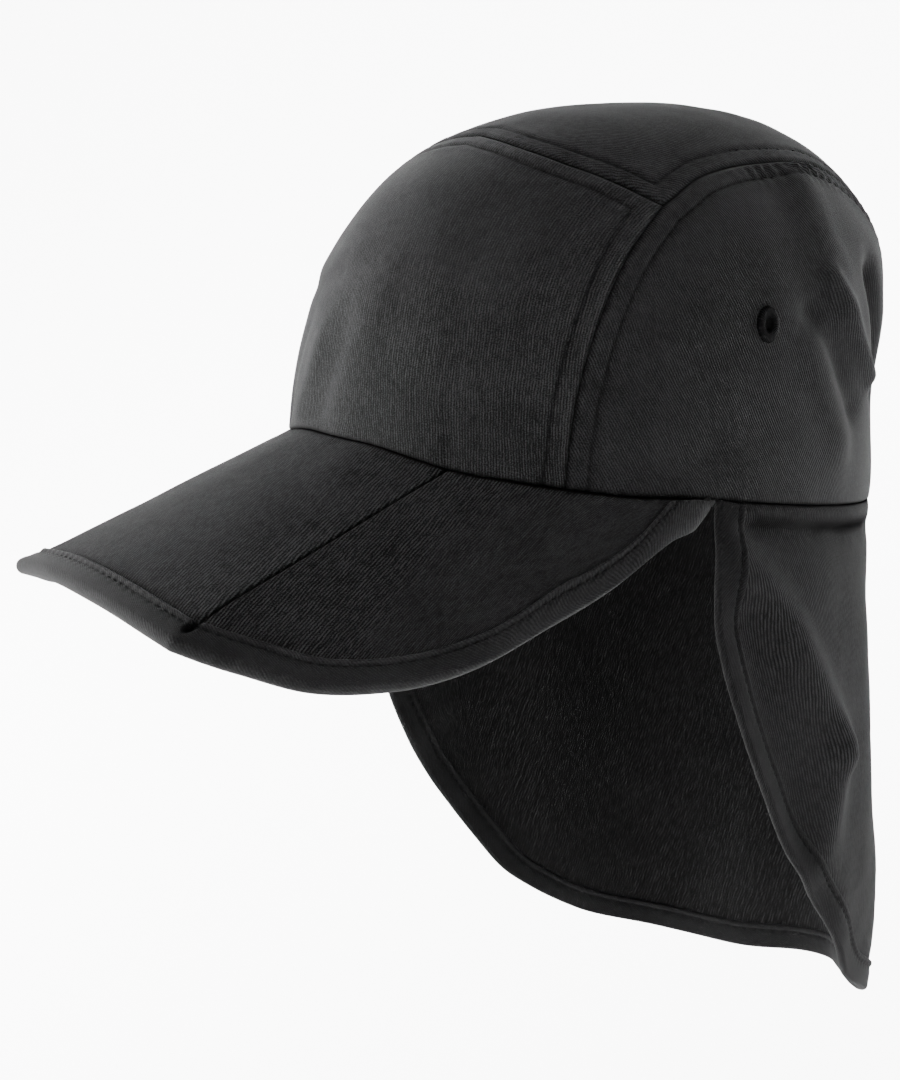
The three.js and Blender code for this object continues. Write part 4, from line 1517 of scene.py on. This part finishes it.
@dataclass
class Peak(BoundPiece):
    """Three boards in cloth, hinged by two creases, with a bound edge.

    Attributes:
        binding: Sizes of the tape.
        length: How far the edge stands out at the middle, in millimetres.
        drop: How far the edge lies below the rim.
        root_half: Half the distance between the creases at the rim.
        fold_half: The same at the edge.
        bow: How far the front edge bows out.
        arch: How far it arches up.
        core: Thickness of the boards.
        side_span: Rough length of a side board's edge.
        side_bulge: How far a side board bulges.
        end_turn: Turn at which the peak ends under the rim, in degrees.
        stand: Gap under the rim at the ends.
        fold_share: Share of the half peak at which the crease lies.
        swell: Height of the cloth's broad waves.
        ripple: Height of its small waves.
        station: Distance between the stations of the tape.
        tab_out: Length of the seam allowance inside the rim, as a share of the boards.
        tab_inset: How far it lies inside the rim, as a share of the rim.
        tab_rise: How far it rises behind the rim.
    """

    binding: Binding = Binding(width=7.5, stitch_inset=5.4, swell=0.35)
    length: float = 76
    drop: float = 48
    root_half: float = 38.5
    fold_half: float = 43.5
    bow: float = 4
    arch: float = 4
    core: float = 2.4
    side_span: float = 145
    side_bulge: float = 1.5
    end_turn: float = 78.0
    end_depth: float = 0.3
    dip_share: float = 0.85
    stand: float = 0.3
    seam_gap: float = 0.3
    fold_share: float = 0.42
    crease_depth: float = 0.55
    crease_width: float = 0.45
    swell: float = 0.22
    ripple: float = 0.08
    # Cell sizes at the folds and between them, and how far in the large ones start
    cells: tuple[float, float, float] = (0.3, 1.0, 8)
    station: float = 0.62
    # The wearer's left fold runs a little further out and its edge curls down
    left_reach: float = 3.0
    left_curl: float = 2.0
    curl_start: float = 0.8
    curl_end: float = 1.05
    left_fade: float = 0.34
    # The far side stands a little higher, and the tape's ends are tucked in under the rim
    right_lift: float = 2.2
    tuck: float = 0.045
    tuck_start: float = 0.91
    tuck_lift: float = 4.4
    lift_start: float = 0.93
    tab_out: float = 0.04
    tab_inset: float = 0.026
    tab_rise: float = 2.8
    # Side edge from the fold to the rim: along, out of half the rim's width, ahead, drop
    side_edge: tuple = (
        (0.1, 0.67, 0.8, 1.07),
        (0.22, 0.81, 0.6, 1.15),
        (0.34, 0.91, 0.37, 1.12),
        (0.48, 0.985, 0.08, 0.98),
        (0.62, 0.995, -0.22, 0.76),
        (0.76, 1.015, -0.5, 0.52),
        (0.89, 0.995, -0.78, 0.24),
    )

    def __post_init__(self) -> None:
        """Works out the side edge's curve."""
        half = self.core / 2
        front = -(self.form.rim_length / 2 + self.length - self.bow)
        end = self.form.rim(
            np.array([self.end_turn]), 1.0, -self.seam_gap - half - self.stand - self.end_depth
        )[0]
        rows = [(0, self.fold_half, front, -self.drop)]
        for along, out, ahead, drop in self.side_edge:
            y = -(self.form.rim_length / 2 + ahead * self.length)
            rows.append((along, out * self.form.rim_width / 2, y, -drop * self.drop))
        rows.append((1, *end))
        self.side_curve = Curve(tuple(rows))

    def root(self, share: Array) -> Array:
        """The root under the crown's rim, by share from the middle to an end."""
        fold_turn = math.degrees(math.asin(self.root_half / (self.form.rim_width / 2)))
        beyond = (share - self.fold_share) / (1 - self.fold_share)
        turn = np.where(
            share < self.fold_share,
            fold_turn * share / self.fold_share,
            fold_turn + (self.end_turn - fold_turn) * beyond,
        )
        dip = self.stand * smooth(share, self.fold_share, self.dip_share)
        points = self.form.rim(turn, self.form.wall / 2, 0)
        points[..., 2] = self.form.rim_lift(points) - self.core / 2 - dip
        return points

    def edge(self, share: Array) -> Array:
        """The outer edge, by share from the middle to an end."""
        across = np.clip(share / self.fold_share, 0, 1)
        swell = 1 - across**2
        front = -(self.form.rim_length / 2 + self.length - self.bow)
        ahead, height = front - self.bow * swell, -self.drop + self.arch * swell
        middle = xyz(self.fold_half * across, ahead, height)
        beyond = np.clip((share - self.fold_share) / (1 - self.fold_share), 0, 1)
        side = np.stack(self.side_curve(beyond), -1)
        return np.where((share < self.fold_share)[..., None], middle, side)

    def middle(self, share: Array, out: Array) -> Array:
        """Points of the peak's middle surface.

        Args:
            share: From -1 at the wearer's right end to 1 at the left end.
            out: From 0 at the root to 1 at the edge; below 0 the seam allowance inside the rim.

        Returns:
            Points in the crown's own axes.
        """
        size = np.abs(share)
        tab = smooth(-out, 0, self.tab_out)
        out = np.maximum(out, 0)
        points = self.root(size) * (1 - out[..., None]) + self.edge(size) * out[..., None]
        points[..., :2] *= 1 - self.tab_inset * tab[..., None]
        points[..., 2] += self.tab_rise * tab
        beyond = np.maximum(0, size - self.fold_share) / (1 - self.fold_share)
        bulge = self.side_bulge * 16 * beyond * (1 - beyond) * out * (1 - out)
        points[..., 0] += bulge
        points[..., 2] += bulge / 2
        points[..., 0] *= np.where(share < 0, -1, 1)
        left = smooth(share, -self.fold_share, self.fold_share)
        left = left * (1 - smooth(beyond, 0, self.left_fade))
        points[..., 1] -= self.left_reach * left * out
        points[..., 2] -= self.left_curl * left * smooth(out, self.curl_start, self.curl_end)
        points[..., 2] += self.right_lift * out * (1 - smooth(share, -self.fold_share, 1.0))
        points[..., 0] *= 1 - self.tuck * smooth(beyond, self.tuck_start, 1)
        points[..., 2] += self.tuck_lift * smooth(beyond, self.lift_start, 1)
        return points

    def normal(self, share: Array, out: Array) -> Array:
        """Upward normals, softened across the creases."""
        step, nudge = 0.012, 0.02
        before, after = np.clip(share - step, -1, 1), np.clip(share + step, -1, 1)
        across = unit(self.middle(after, out) - self.middle(before, out))
        low, high = np.clip(out - nudge, 0, 1), np.clip(out + nudge, 0, 1)
        outward = unit(self.middle(share, high) - self.middle(share, low))
        return unit(np.cross(outward, across))

    def face(self, share: Array, out: Array, height: Array) -> Array:
        """Points at a height off the middle surface."""
        return self.middle(share, out) + self.normal(share, out) * height[..., None]

    def relief(self, share: Array, out: Array, upper: bool) -> tuple[Array, Array]:
        """Height of the cloth over the board and its rubbed share, with painted shade below zero.

        Args:
            share: Shares across the peak.
            out: Shares from the root to the edge.
            upper: Whether it is the upper face.

        Returns:
            Heights in millimetres and rubbed shares, with painted shade below zero.
        """
        points = self.middle(share, out)
        fold = self.middle(np.sign(share) * self.fold_share + 0 * share, out)
        gap = np.linalg.norm(points - fold, axis=-1)
        seed = SEED + (30 if upper else 40)
        height = -self.crease_depth * bump(gap, self.crease_width)
        height += 0.08 * bump(gap - 2.0, 1.5)
        broad, small = Grain(seed, (20, 24, 20)), Grain(seed + 1, (7, 8, 7))
        height += self.swell * broad(points) + self.ripple * small(points)
        root_gap = np.linalg.norm(points - self.middle(share, 0 * out), axis=-1)
        edge_gap = np.linalg.norm(points - self.middle(share, 0 * out + 1), axis=-1)
        height -= 0.3 * bump(edge_gap - self.binding.width, 0.9)
        ripple = Grain(seed + 2, (5, 5, 5))(points)
        height += 0.14 * ripple * bump(root_gap - 3, 5)
        height += 0.08 * ripple * bump(edge_gap - self.binding.width - 1.5, 3)
        # Lighter beside the creases where rubbed; painted shade in the creases and at the root
        # under the rim
        worn = 0.15 * bump(gap - 1.5, 1.1) - 2.0 * bump(gap, 0.5) - 3.0 * bump(root_gap, 0.8)
        return height * np.where(edge_gap < 5, 0.3, 1), worn

    def build(self) -> None:
        """Makes the cloth over the three boards and the bound edge."""
        fold = self.fold_share
        side = fold + (1 - fold) * crowded(self.side_span, *self.cells)
        centre = -fold + 2 * fold * crowded(2 * self.fold_half, *self.cells)
        across = np.concatenate([-side[::-1], centre[1:-1], side])
        outward = crowded(self.length * 1.15, 0.4, 1.0, 10)
        out = np.concatenate([[-self.tab_out, -self.tab_out / 2], outward])
        share, reach = np.meshgrid(across, out)
        top, worn = self.relief(share, reach, True)
        low, _ = self.relief(share, reach, False)
        half = self.core / 2
        faces = [self.form.worn(self.face(share, reach, off)) for off in (half + top, -half - low)]
        cloth = cloth_places(self.middle(share, reach), share.shape[1] // 2)
        sheet = Sheet.of_grid("peak_cloth", faces, cloth, worn)
        piece = sheet.build(self.finish, Slot.PEAK)
        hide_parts("peak_centre", "peak_side_left", "peak_side_right")
        self.bind()

    def bind(self) -> None:
        """Makes the tape round the edge and its stitches."""
        samples = np.linspace(-1, 1, 4000)
        lengths = lengths_along(self.middle(samples, np.ones_like(samples)))
        along = np.linspace(0, lengths[-1], round(lengths[-1] / self.station))
        share = np.interp(along, lengths, samples)
        one = np.ones_like(share)
        edge = self.middle(share, one)
        tangent = unit(np.gradient(edge, axis=0))
        reach = np.linalg.norm(np.cross(edge - self.middle(share, 0 * one), tangent), axis=1)

        def lips(insets: Array) -> tuple[Array, Array]:
            """Points and normals of the peak's middle by station and inset."""
            out = np.maximum(1 - insets[None] / reach[:, None], 0.08)
            shares = np.broadcast_to(share[:, None], out.shape)
            return self.middle(shares, out), self.normal(shares, out)

        folds = np.interp([-self.fold_share, self.fold_share], samples, lengths)
        sheet, lines = self.binding.sheet("peak_tape", lips, self.core / 2, along, tuple(folds))
        sheet.outer, sheet.inner = self.form.worn(sheet.outer), self.form.worn(sheet.inner)
        piece = sheet.build(self.binding_finish, Slot.BINDING)
        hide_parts("peak_binding")
        worn = [(self.form.worn(points), self.form.worn(normals)) for points, normals in lines]
        Stitching().build("peak_stitches", worn, self.thread, Slot.THREAD)


# Flap


@dataclass
class Flap(BoundPiece):
    """The curtain of cloth that hangs from the rim, with its bound edge.

    Attributes:
        binding: Sizes of the tape.
        drop: Deepest fall below the rim on the wearer's right, in millimetres.
        drop_left: The same on the left.
        wall: Thickness of the cloth.
        flare: How far the cloth stands out for each millimetre of fall.
        twist: Degrees that the hanging cloth is swung round the head.
        twist_drop: Fall at which that swing is reached.
        roll_turn: Degrees from a front edge at which the roll under the rim is full.
        roll_loss: Share of the roll that is lost towards the back.
        roll_fade: Degrees from a front edge between which it is lost.
        plain_drop: Fall above which folds die away.
        square_drop: Fall within which the cloth turns square to the rim.
        hem_change: Share of the width over which the hem falls from left to right.
        corner_round: Rounding of the corners.
        outline_step: Distance between points of the cut edge.
        station: Distance between the stations of the tape.
        inner_shade: How much painted shade darkens the inner face.
    """

    binding: Binding = Binding(cloth=0.75)
    drop: float = 194.5
    drop_left: float = 177
    wall: float = 1.2
    flare: float = 0.066
    twist: float = 3.0
    twist_drop: float = 95
    roll_turn: float = 9
    roll_loss: float = 0.75
    roll_fade: tuple[float, float] = (30, 55)
    plain_drop: float = 28
    square_drop: float = 4
    hem_change: float = 0.75
    seam_gap: float = 0.3
    corner_round: float = 11
    outline_step: float = 0.25
    station: float = 0.75
    # Rough width and length, with cell sizes at the edges and between, and the fine band's width
    cells_across: tuple[float, float, float, float] = (300, 0.9, 1.5, 14)
    cells_along: tuple[float, float, float, float] = (190, 0.6, 1.35, 14)
    # The painted shade of the crease under the rim: its drop, how much that wanders, half width and
    # strength
    crease_drop: float = 6.2
    crease_wander: float = 1.3
    crease_width: float = 4.0
    crease_shade: float = 3.3
    inner_shade: float = 1.8
    edge: Curve = Curve(
        ((0, 77.6, 0), (0.1, 76.6, 0.106), (0.22, 77, 0.27), (0.36, 80.8, 0.405))
        + ((0.52, 88.3, 0.554), (0.68, 96.9, 0.68), (0.84, 107, 0.796), (1, 115.5, 0.9))
    )
    hem: Curve = Curve(
        ((0, 115.5, 0.9), (0.25, 138, 0.99), (0.5, 154, 0.997), (0.75, 167, 0.991), (1, 180, 0.989))
    )
    roll: Curve = Curve(
        ((0, 0), (0.006, 0.004), (0.014, 0.006), (0.026, 0), (0.038, -0.015), (0.052, -0.017))
        + ((0.075, -0.008), (0.115, -0.002), (0.18, -0.003), (0.4, -0.006), (1, 0))
    )
    # Folds: three turns, three drops, half width and height as shares of the drop
    folds: tuple = (
        ((81, 97, 104.5), (0.07, 0.27, 0.4), 0.042, 0.024),
        ((104.5, 104, 98), (0.39, 0.47, 0.6), 0.045, 0.014),
        ((83, 90, 101), (0.2, 0.4, 0.74), 0.055, -0.024),
        ((106, 114, 125), (0.95, 0.9, 0.97), 0.15, -0.042),
        ((121, 125, 130), (0.25, 0.6, 0.9), 0.08, 0.006),
        ((143, 147, 150), (0.2, 0.6, 1), 0.09, -0.02),
        ((166, 170, 172), (0.25, 0.6, 1), 0.09, 0.02),
        ((192, 190, 188), (0.3, 0.65, 1), 0.08, -0.018),
        ((210, 212, 214), (0.2, 0.6, 1), 0.09, 0.02),
        ((238, 236, 232), (0.15, 0.5, 0.9), 0.08, -0.02),
        ((264, 256, 250), (0.12, 0.4, 0.75), 0.07, 0.018),
        ((272, 268, 262), (0.15, 0.35, 0.55), 0.05, -0.014),
    )

    def __post_init__(self) -> None:
        """Lays out the rim from the middle of the back, and the folds on the flat cloth."""
        self.turns = np.linspace(60, 300, 2401)
        steps = self.rim_step((self.turns[1:] + self.turns[:-1]) / 2) * np.diff(self.turns)
        self.rim_lengths = np.concatenate([[0], np.cumsum(steps)])
        self.rim_lengths -= np.interp(180, self.turns, self.rim_lengths)
        self.lines = []
        for turns, drops, half_width, height in self.folds:
            ends = self.flat(np.array([*zip(turns, np.array(drops) * self.drop)]))
            start, middle, end = ends
            bend = 2 * middle - (start + end) / 2
            share = np.linspace(0, 1, 14)[:, None]
            bow = (1 - share) ** 2 * start + 2 * share * (1 - share) * bend + share**2 * end
            self.lines.append((Polyline(bow), half_width * self.drop, height * self.drop))

    def rim_step(self, turn: Array) -> Array:
        """Length of rim for one degree of turn."""
        sideways = self.form.rim_width / 2 * np.cos(np.radians(turn))
        lengthways = self.form.rim_length / 2 * np.sin(np.radians(turn))
        return np.hypot(sideways, lengthways) * math.radians(1)

    def flat(self, places: Array) -> Array:
        """Places of turn and drop on the flat cloth, in millimetres."""
        across = np.interp(places[..., 0], self.turns, self.rim_lengths)
        return np.stack([across, places[..., 1]], -1)

    def place(self, flat: Array) -> Array:
        """Turn and drop of places on the flat cloth."""
        turn = np.interp(flat[..., 0], self.rim_lengths, self.turns)
        return np.stack([turn, np.maximum(flat[..., 1], 0)], -1)

    def from_edge(self, turn: Array) -> Array:
        """Degrees of turn from the nearer front edge at the rim."""
        first = self.edge.rows[0][1]
        return np.minimum(turn - first, 360 - first - turn)

    def middle(self, places: Array) -> Array:
        """Points of the hanging cloth's middle surface, at places of turn and drop."""
        shape = places.shape[:-1]
        turn, drop = places[..., 0].ravel(), places[..., 1].ravel()
        swing = turn + self.twist * smooth(drop, 0, self.twist_drop)
        base = self.form.worn(self.form.rim(swing, self.form.wall / 2, -self.seam_gap))
        sideways = np.sin(np.radians(swing)) / self.form.rim_width
        outward = unit(xyz(sideways, -np.cos(np.radians(swing)) / self.form.rim_length, 0.0))
        from_edge = self.from_edge(turn)
        roll = self.roll(drop / self.drop)[0] * self.form.rim_width
        kept = 1 - self.roll_loss * smooth(from_edge, *self.roll_fade)
        roll = roll * smooth(from_edge, 0, self.roll_turn) * kept
        flat = self.flat(np.column_stack([turn, drop]))
        folds = (height * bump(line.nearest(flat)[0], width) for line, width, height in self.lines)
        relief = sum(folds) + self.creases(flat, drop)
        out = self.flare * drop + roll + relief * smooth(drop, 0, self.plain_drop)
        points = base + outward * out[:, None] - UP * drop[:, None]
        return points.reshape(*shape, 3)

    def creases(self, flat: Array, drop: Array) -> Array:
        """Small slanted wrinkles of the hanging cloth."""
        slanted = np.column_stack([flat[:, 0] + 0.35 * flat[:, 1], flat[:, 1] - 0.35 * flat[:, 0]])
        broad = Grain(SEED + 50, (24, 60, 1))(slanted)
        small = Grain(SEED + 51, (9, 22, 1))(slanted)
        return 0.9 * broad + 0.28 * small * smooth(drop, 20, 60)

    def normal(self, places: Array) -> Array:
        """Outward normals; the top edge meets the rim square, so they are level there."""
        nudge = 0.4
        turn, drop = np.array([nudge, 0.0]), np.array([0.0, nudge])
        low = np.maximum(places - drop, 0)
        across = self.middle(places + turn) - self.middle(places - turn)
        down = self.middle(places + drop) - self.middle(low)
        normal = unit(np.cross(down, across))
        normal[..., 2] *= smooth(places[..., 1], 0, self.square_drop)
        return unit(normal)

    def shade(self, places: Array) -> Array:
        """Colour shift of the cloth: lighter in a band under the rim, painted shade in the crease
        below it and where the cloth meets the rim.
        """
        turn, drop = places[..., 0], places[..., 1]
        from_edge = self.from_edge(turn)
        ripple = Grain(SEED + 52, (14, 14, 14))(self.middle(places))
        crease = bump(drop - self.crease_drop - self.crease_wander * ripple, self.crease_width)
        crease = crease * (0.85 + 0.3 * ripple)
        crease = crease * smooth(from_edge, 3.5, 7.5) * (1 - 0.6 * smooth(from_edge, 45, 70))
        # Painted shade in the crease and along the rim's joint
        return 0.25 * bump(drop - 14, 4) - self.crease_shade * crease - 4 * bump(drop, 0.8)

    def outline(self) -> tuple[Array, int, int]:
        """The cut edge on the flat cloth, and the stations where the hem starts and ends."""
        share = np.linspace(0, 1, 400)
        turn, drop = self.edge(share)
        hem_turn, hem_drop = self.hem(share)

        def fall(across: Array) -> Array:
            """Drop of the hem across the flap, from the left side to the right."""
            change = smooth(across, 0, self.hem_change)
            return self.drop_left + (self.drop - self.drop_left) * change

        left = np.column_stack([turn, drop * fall(np.zeros(1))])
        right = np.column_stack([360 - turn, drop * fall(np.ones(1))])[::-1]
        near = np.column_stack([hem_turn, hem_drop * fall(share / 2)])
        far = np.column_stack([360 - hem_turn, hem_drop * fall(1 - share / 2)])[::-1]
        line = self.flat(np.concatenate([left, near[1:], far[1:], right[1:]]))
        lengths = lengths_along(line)
        even = np.arange(0, lengths[-1], self.outline_step)
        line = points_at(even, lengths, line)
        width = self.corner_round / self.outline_step
        reach = int(2.5 * width)
        kernel = bump(np.arange(-reach, reach + 1), width)
        kernel /= kernel.sum()
        pad = len(kernel) // 2
        before, after = 2 * line[0] - line[pad:0:-1], 2 * line[-1] - line[-2 : -pad - 2 : -1]
        padded = np.concatenate([before, line, after])
        rounded = np.stack([np.convolve(padded[:, i], kernel, "valid") for i in range(2)], -1)
        _, end_turn, end_drop = self.edge.rows[-1]
        ends = [[end_turn, end_drop * self.drop_left], [360 - end_turn, end_drop * self.drop]]
        corner = self.flat(np.array(ends))
        turns = [int(np.argmin(np.linalg.norm(rounded - spot, axis=1))) for spot in corner]
        return rounded, turns[0], turns[1]

    def build(self) -> None:
        """Makes the curtain, its bound edge and the stitches."""
        outline, first, last = self.outline()

        def stretch(start: int, end: int, shares: Array) -> Array:
            """A stretch of the outline at some shares of its length."""
            part = outline[start : end + 1] if start < end else outline[end : start + 1][::-1]
            along = lengths_along(part)
            return points_at(shares * along[-1], along, part)

        end = len(outline) - 1
        patch = coons(
            lambda share: outline[0] + (outline[end] - outline[0]) * share[..., None],
            lambda share: stretch(first, last, share),
            lambda share: stretch(0, first, share),
            lambda share: stretch(end, last, share),
        )
        flat = patch(*np.meshgrid(crowded(*self.cells_across), crowded(*self.cells_along)))
        places = self.place(flat)
        middle, normal = self.middle(places), self.normal(places)
        weave = 0.05 * Grain(SEED + 60, (3.2, 3.2, 1))(flat)[..., None]
        half = self.wall / 2
        faces = middle + normal * (half + weave), middle - normal * (half - weave)
        sheet = Sheet.of_grid("neck_flap_cloth", faces, flat, self.shade(places), self.inner_shade)
        curtain = sheet.build(self.finish, Slot.FLAP)
        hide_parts("neck_flap")
        steps = np.diff(outline, axis=0)
        doubled = (outline[:-1, 0] * steps[:, 1] - outline[:-1, 1] * steps[:, 0]).sum()
        area = abs(doubled / 2) * METRE**2
        size = np.ptp(outline, axis=0) * METRE
        tape, stitches = self.bind(outline)
        log.info("flap: flat area %.4f, hanging area %.4f square metres", area, sheet.area())

    def bind(self, outline: Array) -> tuple[bpy.types.Object, bpy.types.Object]:
        """Makes the tape round the flap's edge.

        Args:
            outline: The cut edge on the flat cloth.

        Returns:
            The tape and its stitches.
        """
        lengths = lengths_along(outline)
        along = np.linspace(0, lengths[-1], round(lengths[-1] / self.station))
        edge = points_at(along, lengths, outline)
        ahead = unit(np.gradient(edge, axis=0))
        inward = np.stack([ahead[:, 1], -ahead[:, 0]], -1)

        def lips(insets: Array) -> tuple[Array, Array]:
            """Points and normals of the cloth's middle by station and inset."""
            flat = edge[:, None] + inward[:, None] * insets[None, :, None]
            places = self.place(flat)
            return self.middle(places), self.normal(places)

        sheet, lines = self.binding.sheet("flap_tape", lips, self.wall / 2, along)
        tape = sheet.build(self.binding_finish, Slot.BINDING)
        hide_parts("flap_binding")
        return tape, Stitching().build("flap_stitches", lines, self.thread, Slot.THREAD)


# Studio


@dataclass(frozen=True)
class Studio:
    """A bowl of white paper, soft lamps and the camera.

    Attributes:
        azimuth: The camera's turn round the cap in degrees.
        climb: Its height above the horizon in degrees.
        distance: Its distance from the origin in millimetres, along the view.
        offset: How far it stands to its own right and up, in millimetres.
        lens: Its lens in millimetres, on a frame 36 mm high.
        floor_drop: How far the floor lies below the origin, in metres.
        bowl_radius: Radius of the paper's wall in metres.
        wall_height: Its height.
        air: Strength of the room's even light.
        backdrop_size: Side of the lamp over the paper in metres.
        backdrop_power: Its power in watts.
        backdrop_height: Its height above the origin.
        backdrop_behind: How far it hangs behind the cap.
    """

    azimuth: float = 50.5
    climb: float = 13.83
    distance: float = 672.5
    offset: tuple[float, float] = (-43.96, -26.19)
    lens: float = 69.0
    floor_drop: float = 0.34
    bowl_radius: float = 3.2
    wall_height: float = 3.0
    air: float = 0.2
    # Lamps: name, turn from the camera and climb in degrees, distance, size and power
    lamps: tuple = (
        ("left_lamp", -100, 6, 1.5, 0.8, 190.0),
        ("right_lamp", 118, 4, 1.5, 0.7, 17.0),
        ("top_lamp", -30, 70, 1.7, 1.0, 3.0),
        ("front_lamp", -16, 14, 2.4, 1.4, 9.0),
    )
    backdrop_size: float = 2.8
    backdrop_power: float = 820.0
    backdrop_height: float = 2.5
    backdrop_behind: float = 1.7

    def axes(self) -> Array:
        """The camera's right, up and backward axes."""
        turn = math.radians(self.azimuth)
        back = directions(self.azimuth, self.climb)
        right = np.array([math.cos(turn), math.sin(turn), 0.0])
        return np.stack([right, np.cross(back, right), back])

    def camera(self) -> None:
        """Makes the camera at the photograph's angle."""
        axes = self.axes()
        sideways, upwards = self.offset
        place = self.distance * axes[2] + sideways * axes[0] + upwards * axes[1]
        data = bpy.data.cameras.new("camera")
        data.lens = self.lens
        data.sensor_width = 36
        data.sensor_fit = "AUTO"
        data.clip_start = 0.01
        camera = add_object("camera", data)
        matrix = np.eye(4)
        matrix[:3, :3] = axes.T
        matrix[:3, 3] = place * METRE
        camera.matrix_world = Matrix(matrix.tolist())
        bpy.context.scene.camera = camera

    def square_lamp(self, name: str, size: float, power: float) -> bpy.types.Object:
        """Makes a square lamp.

        Args:
            name: The lamp's name.
            size: Side of the lamp in metres.
            power: Its power in watts.

        Returns:
            The lamp, at the origin and facing down.
        """
        data = bpy.data.lights.new(name, "AREA")
        data.shape = "SQUARE"
        data.size = size
        data.energy = power
        return add_object(name, data)

    def lamp(
        self, name: str, turn: float, climb: float, distance: float, size: float, power: float
    ) -> None:
        """Makes a soft square lamp that faces the cap.

        Args:
            name: The lamp's name.
            turn: Degrees from the camera, positive to its right.
            climb: Degrees above the horizon.
            distance: Metres from the cap.
            size: Side of the lamp in metres.
            power: Its power in watts.
        """
        lamp = self.square_lamp(name, size, power)
        way = directions(self.azimuth + turn, climb)
        right = unit(np.cross(UP, way))
        matrix = np.stack([right, np.cross(way, right), way], -1)
        lamp.location = way * distance
        lamp.rotation_mode = "QUATERNION"
        lamp.rotation_quaternion = Matrix(matrix.tolist()).to_quaternion()

    def backdrop_lamp(self) -> None:
        """Makes the wide lamp over the paper behind the cap, flagged so that only paper is lit."""
        lamp = self.square_lamp("backdrop_lamp", self.backdrop_size, self.backdrop_power)
        azimuth = math.radians(self.azimuth)
        lamp.location = (
            -math.sin(azimuth) * self.backdrop_behind,
            math.cos(azimuth) * self.backdrop_behind,
            self.backdrop_height,
        )
        lamp.rotation_euler = (0, 0, azimuth)
        lit = bpy.data.collections.new("backdrop_paper")
        lit.objects.link(bpy.data.objects["studio_floor"])
        lamp.light_linking.receiver_collection = lit

    def bowl(self) -> None:
        """Makes the floor, which turns up into a wall all round."""
        turns = np.linspace(0, math.tau, 97)[:-1]
        rise = np.linspace(0, math.pi / 2, 13)
        curve = self.bowl_radius - 1 + np.sin(rise)
        radius = np.concatenate([[0.001, 1.0, 2.0], curve, [self.bowl_radius]])
        height = np.concatenate([[0, 0, 0], 1 - np.cos(rise), [self.wall_height]]) - self.floor_drop
        spread = radius[:, None]
        points = xyz(spread * np.cos(turns), spread * np.sin(turns), height[:, None])
        faces = ring_faces(*points.shape[:2])
        mesh = bpy.data.meshes.new("studio_floor")
        mesh.from_pydata(points.reshape(-1, 3).tolist(), [], faces.tolist())
        mesh.polygons.foreach_set("use_smooth", np.ones(len(faces), bool))
        mesh.materials.append(PaperFinish().material())
        floor = add_object("studio_floor", mesh)

    def world(self) -> None:
        """Makes the even light of the white room."""
        world = bpy.data.worlds.new("studio_air")
        world.use_nodes = True
        background = world.node_tree.nodes["Background"]
        background.inputs["Color"].default_value = (1.0, 1.0, 1.0, 1.0)
        background.inputs["Strength"].default_value = self.air
        bpy.context.scene.world = world

    def build(self) -> None:
        """Makes the whole studio."""
        self.camera()
        self.bowl()
        self.world()
        self.backdrop_lamp()
        for lamp in self.lamps:
            self.lamp(*lamp)


def main() -> None:
    """Builds the cap and its studio."""
    logging.basicConfig(level=logging.INFO, format="%(message)s")
    form = CrownForm()
    thread = ThreadFinish().material()
    # The side panels' darker colour is painted shade
    finishes = {
        "front_panel": TwillFinish("front_twill", slant=-8).material(),
        "top_panel": TwillFinish("top_twill", slant=-28, specular=0.02, sheen=0.012).material(),
        "side_panel_left": TwillFinish("side_twill_left", slant=-34, light=SIDE_SHADED_RAISED).material(),
        "side_panel_right": TwillFinish("side_twill_right", slant=-34, light=SIDE_SHADED_RAISED).material(),
    }
    # The peak's lighter colour is painted light
    peak = TwillFinish("peak_twill", 16, 0.88, ridge=1.5, grit=2.2, depth=0.2, light=PEAK_LIT_RAISED)
    peak_twill = replace(peak, specular=0.015, sheen=0.01).material()
    tape = TwillFinish("tape_twill", 52, 0.7, cloud=0.2, ridge=0.55, grit=1.1)
    tape_twill = tape.material()
    # The flap's tape is painted darker, as shade
    hem = replace(tape, name="hem_twill", light=HEM_SHADED_RAISED, specular=0.02, sheen=0.012)
    hem_twill = hem.material()
    # The flap is painted darker as shade, with a lighter deepest colour for its painted-shaded
    # inner face
    flap = TwillFinish("flap_twill", 14, 0.9, FLAP_LIT_DEEP, FLAP_SHADED_RAISED, ridge=2.2, cloud=0.3)
    flap_twill = replace(
        flap, depth=0.24, specular=0.015, sheen=0.01, hollow_from=1.6, grit=1.8
    ).material()
    eyelets = Eyelets(form, thread)
    Crown(form, finishes, thread).build(eyelets)
    eyelets.build()
    Peak(form, peak_twill, tape_twill, thread).build()
    Flap(form, flap_twill, hem_twill, thread).build()
    Studio().build()


if __name__ == "__main__":
    main()
